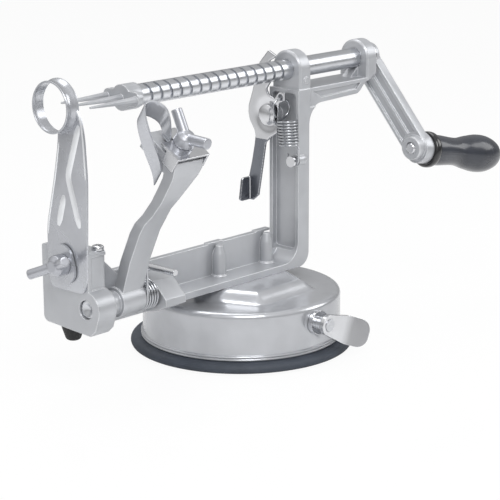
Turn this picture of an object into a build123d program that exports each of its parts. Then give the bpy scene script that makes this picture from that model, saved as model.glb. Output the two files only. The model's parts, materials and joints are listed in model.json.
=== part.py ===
from build123d import *
from math import atan2, ceil, cos, degrees, hypot, pi, radians, sin, sqrt, tan
import os

# Hand cranked apple peeler on a suction base, all sizes in millimetres.
# X runs along the feed screw towards the crank, Z is up, and the origin is
# the centre of the suction cup's flat underside.

# Shared fits
running_gap = 0.05      # a shaft that turns in its hole, on the radius
seat_gap = 0.1          # a piece that is clamped or pressed, on the radius
free_gap = 0.3          # pieces that pass each other while they move
cut_over = 1.0          # overrun of a cutting tool past a face

# Suction base
drum_radius = 49.0
drum_wall = 1.2
drum_foot_z = 5.2
drum_top_z = 28.3
drum_shoulder = 2.6
bead_height = 2.6
bead_proud = 1.0
pad_top_z = 33.5
pad_half_length = 25.0
pad_half_width = 26.0
pad_end_half_length = 16.0
pad_waist = 5.0
pad_slope_deg = 42.0
cup_radius = 55.1
cup_edge_z = 0.8
cup_ring_inner = 45.6
cup_web = 3.0
cup_boss_radius = 16.0
cup_boss_height = 7.4
cup_dome_radius = 20.0
cup_dome_height = 2.6
cup_ring_lip = 3.4
stem_disc_radius = 12.6
stem_disc = 1.6
stem_width = 23.4
stem_depth = 8.0
stem_wall = 3.2

# Locking cam and its lever, axis along Y
cam_axis_z = 19.9
cam_rod_radius = 3.0
cam_rod_front = 58.0
cam_rod_back = 51.6
cam_radius = 7.0
cam_width = 6.0
cam_throw = 2.2
cam_pin_radius = 0.9
cam_slot_gap = 0.7
cam_side_gap = 0.3
bush_radius = 5.2
bush_flange = 2.4
bush_flange_radius = 5.9
bush_inner = 3.4
lever_plate = 2.2
lever_hub_radius = 5.0
lever_length = 25.0
lever_blade_width = 14.0
lever_flare = 5.0
lever_droop_deg = 22.0

# Frame casting
beam_bottom_z = 33.5
beam_flange = 3.3
beam_half_width = 9.7
web_y = 3.5
web_thickness = 3.0
web_top_z = 52.5
post_xs = (-14.4, 19.6)
post_y = 1.0
post_radius = 3.35
post_straight = 10.2
post_cone = 4.8
post_tip_radius = 1.8
post_pad = 0.6
upright_x = 31.5
upright_back_x = 39.5
upright_rim = 2.0
upright_recess = 3.0
arm_top_z = 123.2
arm_depth = 8.4
arm_end_depth = 6.8
arm_end_run = 17.0
# (share of the end's run along the arm, share above the arm's top)
arm_end_shares = ((-1.0, -0.6), (-0.95, -0.44), (-0.78, -0.35), (-0.60, -0.17), (-0.33, -0.05), (0.08, 0.16),
                  (0.08, -0.6))
arm_half_width = 9.0
arm_recess = 1.2
arm_flange = 2.0
corner_radius = 10.0
back_corner_radius = 7.0
front_ear_x = 33.0
front_ear_back_x = 41.3
rear_ear_x = 85.0
rear_ear_back_x = 93.0
ear_radius = 9.4
ear_chamfer = 0.9
gusset_run = 17.0
ear_gusset = 6.0
oil_boss_radius = 1.7
oil_boss_height = 0.8
oil_boss_drop = 4.9

# Front block
block_x = -114.2
block_back_x = -103.5
block_half_width = 15.0
block_top_z = 69.6
block_low_z = 33.4
block_slant = 1.6
block_corner = 3.0
block_panel = 0.8
block_panel_rim = 2.2
lobe_radius = 8.7
gusset_y = -5.0
foot_x = -108.2
foot_y = 2.7
foot_radius = 5.4
foot_tip_radius = 3.2
foot_height = 6.8
foot_seat_z = 32.2
foot_stem_radius = 2.5
foot_stem = 5.0
edge_screw_x = -105.5
edge_screw_y = -12.2
edge_screw_head = 2.8
edge_screw_head_height = 2.1
edge_screw_radius = 1.2
edge_screw_length = 9.0

# Screws from inside the drum into the posts
base_screw_radius = 2.0
base_screw_head = 3.6
base_screw_head_height = 2.2
base_screw_length = 14.0

# Feed screw, fork and crank
axis_z = 132.6
shaft_radius = 5.0
thread_pitch = 6.35
thread_width = 1.6
thread_depth = 1.0
thread_start_x = -66.0
tooth_x = 28.3
shaft_front_x = -70.0
tang_radius = 3.0
tang_length = 7.0
fork_hub_radius = 6.0
fork_floor = 1.2
fork_plate = 3.0
fork_half_width = 11.6
fork_bar_half = 3.4
prong_spread = 9.4
prong_radius = 1.7
prong_tip_radius = 0.5
prong_length = 27.0
washer_thickness = 1.0
washer_radius = 8.0
washer_gap = 0.2
crank_x = 94.5
crank_depth = 5.3
crank_boss_depth = 8.2
crank_square = 5.0
crank_hub_radius = 6.7
crank_hub_depth = 3.5
crank_half_width = 6.9
crank_hub_offset = 3.0
crank_lean_deg = 3.05
crank_boss_radius = 7.9
crank_length = 54.5
crank_angle_deg = 34.9
crank_rim = 1.7
crank_recess = 1.4
crank_back_recess = 1.6
crank_rib = 1.4
crank_boss_rise = 0.4
crank_boss_face = 6.1
nut_radius = 4.3
nut_height = 2.2
nut_pocket_radius = 5.0
nut_pocket = 1.0
stud_end_radius = 2.0
stud_end_proud = 0.3
splay_deg = 13.0
handle_bolt_radius = 3.0
handle_bolt_length = 57.0
handle_rivet_radius = 2.8
handle_rivet_rise = 0.7
collar_start = 9.6
collar_length = 4.4
collar_radius = 9.4
grip_start = 14.3
grip_length = 50.7
grip_radius = 9.9
# (share of the grip's length, share of its largest radius)
grip_shares = ((0.0, 0.80), (0.10, 0.80), (0.34, 0.73), (0.50, 0.88), (0.65, 1.0),
               (0.78, 0.97), (0.90, 0.76), (0.97, 0.46))

# Release lever that drops into the thread
lever_thickness = 1.4
lever_height = 77.4
lever_foot_z = 64.6
lever_shift_y = 2.7
pivot_y = 7.3
pivot_z = 109.7
rivet_head_radius = 5.2
rivet_dome = 2.6
rivet_radius = 1.8
pivot_boss_radius = 3.9
tooth_thickness = 0.8
tooth_half_height = 1.0
tooth_reach = 0.75
ear_hole_radius = 1.5
ear_hole_y = -0.9
ear_hole_z = 119.4
tab_reach_top = 5.5
tab_reach_low = 7.3
tab_height = 11.9
# (share of the lever's height across, share of its height above the foot)
lever_outline_shares = (
    (0.236, 0.000), (0.229, 0.155), (0.202, 0.260), (0.177, 0.382), (0.171, 0.430), (0.180, 0.468),
    (0.221, 0.530), (0.233, 0.580), (0.230, 0.626), (0.199, 0.716), (0.185, 0.762), (0.133, 0.917),
    (0.058, 1.000), (-0.014, 0.966), (0.052, 0.930), (0.020, 0.890), (0.020, 0.820), (0.040, 0.796),
    (0.058, 0.775), (0.076, 0.749), (0.060, 0.715), (0.009, 0.694), (-0.034, 0.740), (-0.080, 0.740),
    (-0.080, 0.686), (-0.034, 0.668), (-0.017, 0.600), (-0.017, 0.470), (0.045, 0.433), (0.083, 0.395),
    (0.106, 0.260), (0.147, 0.036), (0.189, 0.000))

# Release spring between the lever's ear and a stud on the upright
release_wire = 0.5
release_coil_radius = 4.6
release_pitch = 1.45
release_half_turns = 17
release_x = 26.1
release_low_y = -8.2
release_low_z = 96.6
release_top_y = -6.8
release_ring_radius = 4.9
release_ring_turn_deg = -14.0
release_hook_radius = 3.6
stud_y = -8.2
stud_z = 88.0
stud_shank_radius = 1.5
stud_head_radius = 2.8
stud_head = 1.2
stud_head_x = 27.0
stud_depth = 3.0
stud_boss_radius = 3.0
stud_boss_x = 31.0

# Coring ring and slicing strip
strip_thickness = 1.0
strip_low_z = 51.0
strip_height = 95.0
ring_radius = 11.9
ring_wall = 0.8
ring_front_x = -120.4
ring_rise = 1.0
ring_turn_deg = -9.0
rib_height = 0.5
rib_width = 4.0
# (share of the strip's height across, share of its height above its low end)
strip_left_shares = ((0.085, 0.0), (0.104, 0.06), (0.106, 0.246), (0.103, 0.305), (0.044, 0.542), (0.010, 0.711))
strip_right_shares = ((-0.180, 0.54), (-0.166, 0.752), (-0.146, 0.832), (-0.112, 0.893), (-0.072, 0.943),
                      (-0.035, 0.976), (0.005, 0.990))
strip_low_right_shares = ((-0.168, 0.250), (-0.160, 0.06), (-0.140, 0.0))
rib_long_shares = ((-0.136, 0.80), (-0.050, 0.55), (-0.124, 0.31))
rib_short_shares = ((-0.022, 0.46), (0.026, 0.30))
clamp_y = -2.0
clamp_z = 63.3
clamp_length = 18.0
clamp_width = 13.0
clamp_thickness = 1.2
clamp_tilt_deg = 17.0
clamp_screw_radius = 3.0
clamp_slot_low = 7.6
clamp_slot_high = 4.0
wing_hub_radius = 4.8
wing_hub_length = 7.0
wing_radius = 2.3
wing_reach = 13.4
wing_forward = 6.0
wing_tilt_deg = 23.0
screw_depth = 9.0

# Peeling arm and its pivot, axis along X
arm_axis_y = -13.0
arm_axis_z = 43.6
pivot_rod_radius = 3.0
pivot_rod_end = 1.7
rod_cap_radius = 4.1
rod_cap_recess = 3.4
collar_hub_radius = 5.3
arm_hub_x = -97.4
arm_hub_radius = 7.0
arm_hub_back_x = -83.6
lug_x = -74.5
lug_back_x = -62.0
torsion_wire = 0.6
torsion_radius = 6.6
torsion_pitch = 1.6
torsion_half_turns = 9
torsion_bend = 2.2
torsion_arm_leg = 15.0
torsion_tip = 2.0
torsion_hole_radius = 0.8
stop_pin_x = -70.0
stop_pin_z = 54.0
stop_pin_radius = 1.5
stop_pin_reach = 25.0
stop_boss_radius = 3.2

# Head of the peeling arm: a seat tilted up towards the axis
seat_tilt_deg = 56.0
seat_x = -81.3
seat_y = -46.0
seat_z = 110.2
seat_half_width = 8.7
seat_length = 21.0
seat_plate = 3.0
seat_cheek = 2.4
seat_cheek_depth = 8.0
seat_pad_radius = 5.0
seat_pad_rise = 1.5
arm_thickness = 6.2
arm_wall = 2.4
arm_left_x = -96.5
arm_right_x = -84.0
stud_u = 8.0
stud_side = 1.1
blade_stud_radius = 2.0
blade_stud_length = 9.5

# Peeling blade, its clip and its wing nut
blade_thickness = 0.9
blade_width = 8.0
blade_y = -38.0
blade_height = 32.3
blade_low_z = 106.0
blade_left_x = -91.0
# (share of the blade's height across, share of its height)
blade_path_shares = ((0.0, 0.0), (-0.028, 0.167), (-0.111, 0.359), (-0.192, 0.539), (-0.257, 0.728),
                     (-0.288, 0.873), (-0.269, 0.966), (-0.192, 1.0), (-0.090, 0.988), (0.003, 0.947),
                     (0.093, 0.892), (0.161, 0.817), (0.198, 0.718), (0.214, 0.594), (0.210, 0.464),
                     (0.201, 0.344))
blade_tab_reach = 3.2
blade_tab_u = 4.0
blade_tab_end_u = 16.8
clip_thickness = 1.0
clip_overhang = 1.0
clip_length = 17.5
clip_step_u = 10.8
clip_flap = 6.0
clip_flap_length = 6.5
clip_gap = 0.15
wing_nut_radius = 5.0
wing_nut_height = 6.6
wing_nut_wing_radius = 2.5
wing_nut_wing_length = 13.4
wing_nut_wing_rise_deg = 30.6
wing_nut_turn_deg = 90.0


def outline(points, radius=0):
    """Closed face of straight runs, its corners rounded by one radius or a list of radii."""
    if radius == 0:
        return make_face(Polyline(*points, close=True))
    return make_face(FilletPolyline(*points, radius=radius, close=True))


def yz_prism(points, x_from, x_to, radius=0):
    """Prism along X of an outline of (y, z) points."""
    plane = Plane(origin=(x_from, 0, 0), x_dir=(0, 1, 0), z_dir=(1, 0, 0))
    return extrude(plane * outline(points, radius), amount=x_to - x_from)


def xz_prism(points, y_from, y_to, radius=0):
    """Prism along Y of an outline of (x, z) points."""
    plane = Plane(origin=(0, y_to, 0), x_dir=(1, 0, 0), z_dir=(0, -1, 0))
    return extrude(plane * outline(points, radius), amount=y_to - y_from)


def block_between(x_from, x_to, y_from, y_to, z_from, z_to):
    """Plain block between two corners."""
    points = ((x_from, z_from), (x_to, z_from), (x_to, z_to), (x_from, z_to))
    return xz_prism(points, y_from, y_to)


def rod(start, end, radius, end_radius=None):
    """Round bar, or cone, from one point to another."""
    start, end = Vector(*start), Vector(*end)
    run = end - start
    base = Plane(origin=start, z_dir=run)
    if end_radius is None or end_radius == radius:
        return extrude(base * Circle(radius), amount=run.length)
    top = Plane(origin=end, z_dir=run)
    return loft([base * Circle(radius), top * Circle(end_radius)])


def x_rod(x_from, x_to, y, z, radius, end_radius=None):
    """Round bar along X."""
    return rod((x_from, y, z), (x_to, y, z), radius, end_radius)


def y_rod(y_from, y_to, x, z, radius):
    """Round bar along Y."""
    return rod((x, y_from, z), (x, y_to, z), radius)


def z_rod(z_from, z_to, x, y, radius, end_radius=None):
    """Round bar along Z."""
    return rod((x, y, z_from), (x, y, z_to), radius, end_radius)


def turned(points, origin, direction, radius=0):
    """Solid of revolution of (along, out) points about a line."""
    direction = Vector(*direction).normalized()
    side = Vector(0, 0, 1) if abs(direction.Z) < abs(direction.X) + abs(direction.Y) else Vector(0, 1, 0)
    plane = Plane(origin=Vector(*origin), x_dir=direction, z_dir=direction.cross(side))
    return revolve(plane * outline(points, radius), Axis(Vector(*origin), direction))


def biarc(start, start_dir, end, end_dir):
    """Two arcs that meet smoothly and keep the directions at both ends."""
    chord = end - start
    if chord.cross(start_dir).length < 1e-6 * chord.length:
        return [Line(start, end)]
    total = start_dir + end_dir
    lean = 2 * (1 - start_dir.dot(end_dir))
    along = chord.dot(total)
    if abs(lean) < 1e-9:
        reach = chord.dot(chord) / (2 * along)
    else:
        reach = (sqrt(along * along + lean * chord.dot(chord)) - along) / lean
    first = start + start_dir * reach
    second = end - end_dir * reach
    middle = (first + second) * 0.5
    return [TangentArc(start, middle, tangent=start_dir), TangentArc(middle, end, tangent=second - first)]


def wire_tube(stations, radius):
    """Round wire through (point, direction) stations."""
    edges = []
    for (start, start_dir), (end, end_dir) in zip(stations, stations[1:]):
        edges += biarc(start, start_dir, end, end_dir)
    path = Wire([edge for line in edges for edge in line.edges()])
    section = Plane(origin=stations[0][0], z_dir=stations[0][1]) * Circle(radius)
    return sweep(section, path=path), path


def wire_gap(path, radius):
    """Least gap of a wound wire to itself, measured on points along it."""
    count = ceil(path.length / (2 * radius))
    points = [path.position_at(i / count) for i in range(count + 1)]
    skip = 5
    gaps = [(a - b).length for i, a in enumerate(points) for b in points[i + skip:]]
    return min(gaps) - 2 * radius


def coil_stations(centre, axis, side, radius, pitch, half_turns, hand=1):
    """Stations of a coil, two to a turn, right handed or left handed."""
    across = axis.cross(side) * hand
    rise = pitch / (2 * pi)
    stations = []
    for i in range(half_turns + 1):
        angle = pi * i
        out = side * cos(angle) + across * sin(angle)
        way = (across * cos(angle) - side * sin(angle)) * radius + axis * rise
        stations.append((centre + out * radius + axis * (rise * angle), way.normalized()))
    return stations


def pad_outline(grow):
    """Outline of the raised pad on the drum's top, grown by a margin."""
    length = pad_half_length + grow
    width = pad_half_width + grow
    quarter = ((length, pad_waist), (pad_end_half_length + grow, width))
    ends = [(x * sx, y * sy) for sx, sy in ((1, 1), (-1, 1), (-1, -1), (1, -1)) for x, y in quarter]
    return ends[0:2] + ends[2:4][::-1] + ends[4:6] + ends[6:8][::-1]


def pad_block(shrink, drop):
    """The raised pad as a block with sloping sides, shrunk and dropped for its hollow inside."""
    top_z = pad_top_z - drop
    foot_z = drum_top_z - drum_shoulder
    spread = (top_z - foot_z) / tan(radians(pad_slope_deg))
    top = Plane(origin=(0, 0, top_z)) * outline(pad_outline(-shrink))
    foot = Plane(origin=(0, 0, foot_z)) * outline(pad_outline(spread - shrink))
    return loft([foot, top])


def drum_block(shrink):
    """The drum's round body down to its foot, shrunk by the wall for its inside."""
    radius = drum_radius - shrink
    top = drum_top_z - shrink
    turn = drum_shoulder - shrink
    foot = drum_foot_z - (cut_over if shrink else 0)
    return turned(((0, 0), (top - foot, 0), (top - foot, radius - turn), (top - foot - turn, radius), (0, radius)),
                  (0, 0, foot), (0, 0, 1))


def base_housing():
    """Pressed steel drum with a rolled double bead at its foot and a raised pad on top."""
    body = drum_block(0) + pad_block(0, 0)
    bead_radius = bead_height / 4
    for level in (bead_radius, 3 * bead_radius):
        centre = (drum_radius - bead_radius + bead_proud, drum_foot_z + level)
        ring = Plane.XZ * Pos(*centre) * Circle(bead_radius)
        body += revolve(ring, Axis.Z)
    skirt = Pos(0, 0, drum_foot_z) * Cylinder(drum_radius + bead_proud - bead_radius, bead_height,
                                            align=(Align.CENTER, Align.CENTER, Align.MIN))
    body += skirt
    body -= drum_block(drum_wall) + pad_block(drum_wall, drum_wall)
    body -= y_rod(-drum_radius - cut_over, -drum_radius + bush_radius, 0, cam_axis_z, bush_radius + seat_gap)
    body -= y_rod(drum_radius - bush_radius, drum_radius + cut_over, 0, cam_axis_z, cam_rod_radius + running_gap)
    for x in post_xs:
        body -= z_rod(drum_top_z, pad_top_z + cut_over, x, post_y, base_screw_radius + seat_gap)
    return body


def suction_cup():
    """Rubber cup: a ring under the drum's foot, a thin web and a boss round the stem's disc."""
    half = cup_edge_z * 2
    profile = ((0, cup_dome_radius), (0, cup_radius - half), (cup_edge_z, cup_radius),
               (cup_ring_lip, cup_radius), (drum_foot_z, cup_radius - half), (drum_foot_z, cup_ring_inner),
               (cup_web, cup_ring_inner - half), (cup_web + cup_dome_height / 2, cup_boss_radius + half),
               (cup_boss_height, cup_boss_radius), (cup_boss_height, 0), (cup_dome_height, 0),
               (cup_dome_height, cup_dome_radius / 3))
    body = turned(profile, (0, 0, 0), (0, 0, 1))
    pocket_z = cup_dome_height + stem_disc
    body -= z_rod(pocket_z - seat_gap, pocket_z + stem_disc + seat_gap, 0, 0, stem_disc_radius + seat_gap)
    half_depth = stem_depth / 2 + seat_gap
    half_width = stem_width / 2 + seat_gap
    body -= block_between(-half_width, half_width, -half_depth, half_depth, pocket_z + stem_disc,
                          cup_boss_height + cut_over)
    return body


def cup_stem():
    """Draw bar moulded into the cup, with a window that the cam turns in."""
    disc_z = cup_dome_height + stem_disc
    half = stem_width / 2
    window = cam_radius + cam_throw + cam_side_gap
    centre_z = cam_axis_z + cam_throw
    body = z_rod(disc_z, disc_z + stem_disc, 0, 0, stem_disc_radius)
    top_z = drum_top_z - drum_wall - free_gap
    body += block_between(-half, half, -stem_depth / 2, stem_depth / 2, disc_z + stem_disc / 2, top_z)
    low = centre_z - cam_radius - cam_slot_gap
    high = centre_z + cam_radius + cam_slot_gap
    window_face = ((-window, low), (window, low), (window, high), (-window, high))
    body -= xz_prism(window_face, -stem_depth, stem_depth, radius=stem_wall)
    return body


def lever_bush():
    """Bright bush in the drum's wall round the cam rod."""
    wall_y = -drum_radius
    body = y_rod(wall_y - bush_flange, wall_y, 0, cam_axis_z, bush_flange_radius)
    body += y_rod(wall_y - bush_flange, wall_y + drum_wall + bush_inner, 0, cam_axis_z, bush_radius)
    body -= drum_clear(bush_flange_radius)
    body -= y_rod(wall_y - bush_flange - cut_over, wall_y + bush_radius * 2, 0, cam_axis_z,
                  cam_rod_radius + running_gap)
    return body


def drum_clear(reach):
    """The drum's curved skin near the bush, outside the bush's own hole."""
    skin = z_rod(cam_axis_z - reach, cam_axis_z + reach, 0, 0, drum_radius)
    skin -= y_rod(-drum_radius - cut_over, 0, 0, cam_axis_z, bush_radius)
    return skin


def cam_shaft():
    """Steel rod across the drum, with a cross hole for the cam's pin."""
    body = y_rod(-cam_rod_front, cam_rod_back, 0, cam_axis_z, cam_rod_radius)
    body -= z_rod(cam_axis_z - cam_radius, cam_axis_z + cam_radius, 0, 0, cam_pin_radius)
    return body


def lift_cam():
    """Round cam set off centre on the rod."""
    half = cam_width / 2
    body = y_rod(-half, half, 0, cam_axis_z + cam_throw, cam_radius)
    body -= y_rod(-half - cut_over, half + cut_over, 0, cam_axis_z, cam_rod_radius + seat_gap)
    body -= z_rod(cam_axis_z - cam_radius, cam_axis_z + cam_radius + cam_throw * 2, 0, 0, cam_pin_radius)
    return body


def cam_pin():
    """Cross pin that fixes the cam on the rod."""
    length = cam_radius - cam_throw - seat_gap
    return z_rod(cam_axis_z - length, cam_axis_z + length, 0, 0, cam_pin_radius - seat_gap)


def lock_lever():
    """Bright pressed lever on the cam rod, its end flared outwards for a thumb."""
    inner_y = -cam_rod_front + free_gap
    outer_y = inner_y + lever_plate
    hub = y_rod(inner_y, outer_y, 0, cam_axis_z, lever_hub_radius)
    half = lever_blade_width / 2
    length = lever_length
    bend = length * 0.55
    top = ((0, -lever_hub_radius), (bend, -half), (length, -half), (length, half), (bend, half), (0, lever_hub_radius))
    plane = Plane(origin=(0, outer_y, cam_axis_z), x_dir=(1, 0, 0), z_dir=(0, -1, 0))
    flat = extrude(plane * outline(top, radius=(0, 1.2 * half, half * 0.8, half * 0.8, 1.2 * half, 0)),
                   amount=lever_plate + lever_flare * 2)
    curve = ((-lever_hub_radius, inner_y), (bend, inner_y), (length, inner_y - lever_flare))
    plan_low = FilletPolyline(*curve, radius=length / 2)
    upper = [(x, y + lever_plate) for x, y in curve]
    plan_high = FilletPolyline(*upper, radius=length / 2)
    sides = plan_low + plan_high + Line(curve[0], upper[0]) + Line(curve[-1], upper[-1])
    plan = Plane(origin=(0, 0, cam_axis_z - length)) * make_face(sides)
    body = hub + (flat & extrude(plan, amount=length * 2))
    body -= y_rod(inner_y - cut_over, outer_y + cut_over, 0, cam_axis_z, cam_rod_radius + seat_gap)
    turn = Axis((0, 0, cam_axis_z), (0, 1, 0))
    return body.rotate(turn, lever_droop_deg)


def base_screws():
    """Two screws from inside the drum up into the posts."""
    under_z = pad_top_z - drum_wall
    screws = []
    for x in post_xs:
        screw = z_rod(under_z, under_z + base_screw_length, x, post_y, base_screw_radius)
        screw += z_rod(under_z - base_screw_head_height, under_z, x, post_y, base_screw_head * 0.8, base_screw_head)
        screws.append(screw)
    return Compound(children=screws)


def frame_band():
    """Beam flange, upright and upper arm as one bent band seen along Y."""
    flange_top = beam_bottom_z + beam_flange
    under_z = arm_top_z - arm_depth
    end_z = arm_top_z - arm_end_depth
    band = ((block_back_x, beam_bottom_z), (upright_back_x, beam_bottom_z), (upright_back_x, under_z),
            (rear_ear_back_x - arm_flange, end_z), (rear_ear_back_x, arm_top_z), (upright_x, arm_top_z),
            (upright_x, flange_top), (block_back_x, flange_top))
    radii = (0, back_corner_radius, corner_radius, arm_flange, 0, 0, corner_radius, 0)
    body = xz_prism(band, -beam_half_width, beam_half_width, radius=radii)
    trim = beam_half_width - arm_half_width
    for side in (-1, 1):
        y_from = min(side * arm_half_width, side * (beam_half_width + cut_over))
        y_to = max(side * arm_half_width, side * (beam_half_width + cut_over))
        body -= block_between(upright_back_x + trim, rear_ear_back_x + cut_over, y_from, y_to,
                              under_z - cut_over, arm_top_z + cut_over)
    return body


def frame_recesses():
    """Sunk panels of the upright and of the upper arm's two sides."""
    inner = beam_half_width - upright_rim
    low = beam_bottom_z + beam_flange + corner_radius / 2
    high = arm_top_z - arm_flange
    panel = ((-inner, low), (inner, low), (inner, high), (-inner, high))
    cut = yz_prism(panel, upright_x - cut_over - corner_radius, upright_x + upright_recess, radius=upright_rim)
    under_z = arm_top_z - arm_depth
    side = ((upright_back_x + corner_radius, under_z + arm_flange * 1.4),
            (rear_ear_x - arm_flange * 4, under_z + arm_flange * 1.8),
            (rear_ear_x - arm_flange * 2.4, arm_top_z - arm_flange),
            (front_ear_back_x + arm_flange, arm_top_z - arm_flange))
    cut += xz_prism(side, -beam_half_width, -arm_half_width + arm_recess)
    cut += xz_prism(side, arm_half_width - arm_recess, beam_half_width)
    return cut


def bearing_ear(x_from, x_to):
    """Ear with a round top, its edges chamfered, standing on the upper arm."""
    foot_z = arm_top_z - arm_flange
    ear = block_between(x_from, x_to, -ear_radius, ear_radius, foot_z, axis_z)
    ear += x_rod(x_from, x_to, 0, axis_z, ear_radius)
    round_edges = [e for e in ear.edges().filter_by(GeomType.CIRCLE)]
    return chamfer(round_edges, ear_chamfer)


def arm_end_cut():
    """What is taken off below the upper arm's end, up to the back of the rear ear."""
    points = [(rear_ear_back_x + x * arm_end_run, arm_top_z + z * arm_end_run) for x, z in arm_end_shares]
    return xz_prism(points, -beam_half_width - cut_over, beam_half_width + cut_over)


def post(x):
    """Tapered post on the beam, merged into the web behind it."""
    flange_top = beam_bottom_z + beam_flange
    shoulder = flange_top + post_straight
    body = z_rod(flange_top - post_pad, shoulder, x, post_y, post_radius)
    body += z_rod(shoulder, shoulder + post_cone, x, post_y, post_radius, post_tip_radius)
    body += z_rod(flange_top - post_pad, flange_top + post_pad, x, post_y, post_radius + post_pad)
    reach = post_radius * 1.5
    body += block_between(x - reach, x + reach, web_y, web_y + web_thickness, web_top_z - post_pad,
                          web_top_z + post_pad)
    return body


def web():
    """Upright web along the beam, with its corner fillet and the slanting gusset to the block."""
    flange_z = beam_bottom_z + beam_flange / 2
    rim_x = upright_x + upright_recess / 2
    points = ((block_back_x - block_corner, flange_z), (rim_x, flange_z), (rim_x, web_top_z + corner_radius),
              (rim_x - corner_radius, web_top_z), (block_back_x + gusset_run, web_top_z),
              (block_back_x - cut_over, block_top_z - cut_over), (block_back_x - block_corner, block_top_z - cut_over))
    body = xz_prism(points, web_y, web_y + web_thickness)
    rise = block_top_z - web_top_z
    wedge = ((block_back_x - cut_over, flange_z), (block_back_x + gusset_run, flange_z),
             (block_back_x + gusset_run, web_top_z), (block_back_x, web_top_z + rise - cut_over),
             (block_back_x - cut_over, web_top_z + rise - cut_over))
    body += xz_prism(wedge, gusset_y, gusset_y + web_thickness)
    body += block_between(block_back_x + gusset_run - web_thickness, block_back_x + gusset_run, gusset_y,
                          web_y + web_thickness, flange_z, web_top_z)
    return body


def front_block():
    """Block at the beam's front end, with the pivot lobe on its near lower corner."""
    low_right = block_low_z - block_slant
    side = -block_half_width
    lobe_y = arm_axis_y - lobe_radius
    points = ((block_half_width + cut_over / 2, block_top_z), (side, block_top_z), (side, arm_axis_z),
              (arm_axis_y - lobe_radius * 0.9, arm_axis_z - lobe_radius * 0.43),
              (arm_axis_y - lobe_radius * 0.70, arm_axis_z - lobe_radius),
              (lobe_y + block_corner * 2, low_right), (block_half_width + cut_over / 2, block_low_z))
    radii = (block_corner / 2, block_corner / 2, 0, 0, 0, 0, block_corner)
    body = yz_prism(points, block_x, block_back_x, radius=radii)
    body += x_rod(block_x, block_back_x, arm_axis_y, arm_axis_z, lobe_radius)
    middle_z = (block_top_z + arm_axis_z + lobe_radius) / 2
    half_height = (block_top_z - arm_axis_z - lobe_radius) / 2 - block_panel_rim / 2
    body -= block_between(block_x + block_panel_rim, block_back_x + cut_over, side - cut_over, side + block_panel,
                          middle_z - half_height - block_panel_rim / 2, middle_z + half_height - block_panel_rim / 2)
    body += z_rod(foot_seat_z, block_low_z + block_corner, foot_x, foot_y, foot_radius * 0.9)
    return body


def front_block_cuts():
    """Holes of the front block: pivot rod, rod cap, rubber foot, edge screw and clamp screw."""
    cut = x_rod(block_x - cut_over, block_back_x + cut_over, arm_axis_y, arm_axis_z, pivot_rod_radius + seat_gap)
    cut += x_rod(block_x - cut_over, block_x + rod_cap_recess, arm_axis_y, arm_axis_z, rod_cap_radius + seat_gap * 3)
    cut += z_rod(foot_seat_z - cut_over, foot_seat_z + foot_stem + seat_gap, foot_x, foot_y, foot_stem_radius + seat_gap)
    cut += z_rod(block_top_z - edge_screw_length - seat_gap, block_top_z + cut_over, edge_screw_x, edge_screw_y,
                 edge_screw_radius + seat_gap)
    cut += x_rod(block_x - cut_over, block_x + screw_depth + seat_gap, clamp_y, clamp_z, clamp_screw_radius + running_gap)
    return cut


def lug():
    """Ear of the beam that carries the inner end of the peeling arm's rod."""
    low = beam_bottom_z + beam_flange
    points = ((web_y + web_thickness / 2, beam_bottom_z), (-beam_half_width, beam_bottom_z),
              (arm_axis_y - pivot_rod_radius * 1.3, low - block_slant), (arm_axis_y - pivot_rod_radius * 3.5, low + block_slant),
              (arm_axis_y - pivot_rod_radius * 3.3, low + block_slant * 3),
              (arm_axis_y - pivot_rod_radius * 1.3, arm_axis_z + pivot_rod_radius * 1.3),
              (arm_axis_y - pivot_rod_radius * 0.6, arm_axis_z + pivot_rod_radius * 1.8),
              (web_y + web_thickness / 2, arm_axis_z + pivot_rod_radius * 1.8))
    return yz_prism(points, lug_x, lug_back_x)


def frame_casting():
    """One casting: front block, beam, posts, upright, upper arm and two bearing ears."""
    body = frame_band() + web() - frame_recesses()
    body += bearing_ear(front_ear_x, front_ear_back_x) + bearing_ear(rear_ear_x, rear_ear_back_x)
    wedge_foot = arm_top_z - arm_flange
    wedge = ((rear_ear_x - ear_gusset, wedge_foot), (rear_ear_x + cut_over, wedge_foot),
             (rear_ear_x + cut_over, arm_top_z + ear_gusset), (rear_ear_x - ear_gusset, arm_top_z))
    body += xz_prism(wedge, -web_thickness, web_thickness)
    body -= arm_end_cut()
    boss_z = axis_z - oil_boss_drop
    boss_x = (front_ear_x + front_ear_back_x) / 2
    body += y_rod(-ear_radius - oil_boss_height, 0, boss_x, boss_z, oil_boss_radius)
    for x in post_xs:
        body += post(x)
    body += front_block() + lug()
    body += y_rod(web_y - post_pad, web_y + web_thickness + post_pad, stop_pin_x, stop_pin_z, stop_boss_radius)
    body += block_between(stop_pin_x - stop_boss_radius, stop_pin_x + stop_boss_radius, web_y, web_y + web_thickness,
                          web_top_z - cut_over, stop_pin_z)
    body += x_rod(boss_face_x(), upright_x + upright_recess + cut_over, pivot_y, pivot_z, pivot_boss_radius)
    body += x_rod(stud_boss_x, upright_x + upright_recess + cut_over, stud_y, stud_z, stud_boss_radius)
    body -= front_block_cuts()
    body -= x_rod(front_ear_x - cut_over, rear_ear_back_x + cut_over, 0, axis_z, shaft_radius + running_gap)
    body -= x_rod(lug_x - cut_over, lug_back_x - pivot_rod_end, arm_axis_y, arm_axis_z, pivot_rod_radius + seat_gap)
    body -= y_rod(web_y - cut_over, web_y + web_thickness + cut_over, stop_pin_x, stop_pin_z,
                  stop_pin_radius + seat_gap)
    body -= x_rod(boss_face_x() - cut_over, upright_back_x + cut_over, pivot_y, pivot_z, rivet_radius + seat_gap)
    body -= x_rod(stud_head_x, upright_x + upright_recess + stud_depth, stud_y, stud_z, stud_shank_radius + seat_gap)
    for x in post_xs:
        top = pad_top_z - drum_wall + base_screw_length + seat_gap
        body -= z_rod(beam_bottom_z - cut_over, top, x, post_y, base_screw_radius + seat_gap)
    return body


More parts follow.
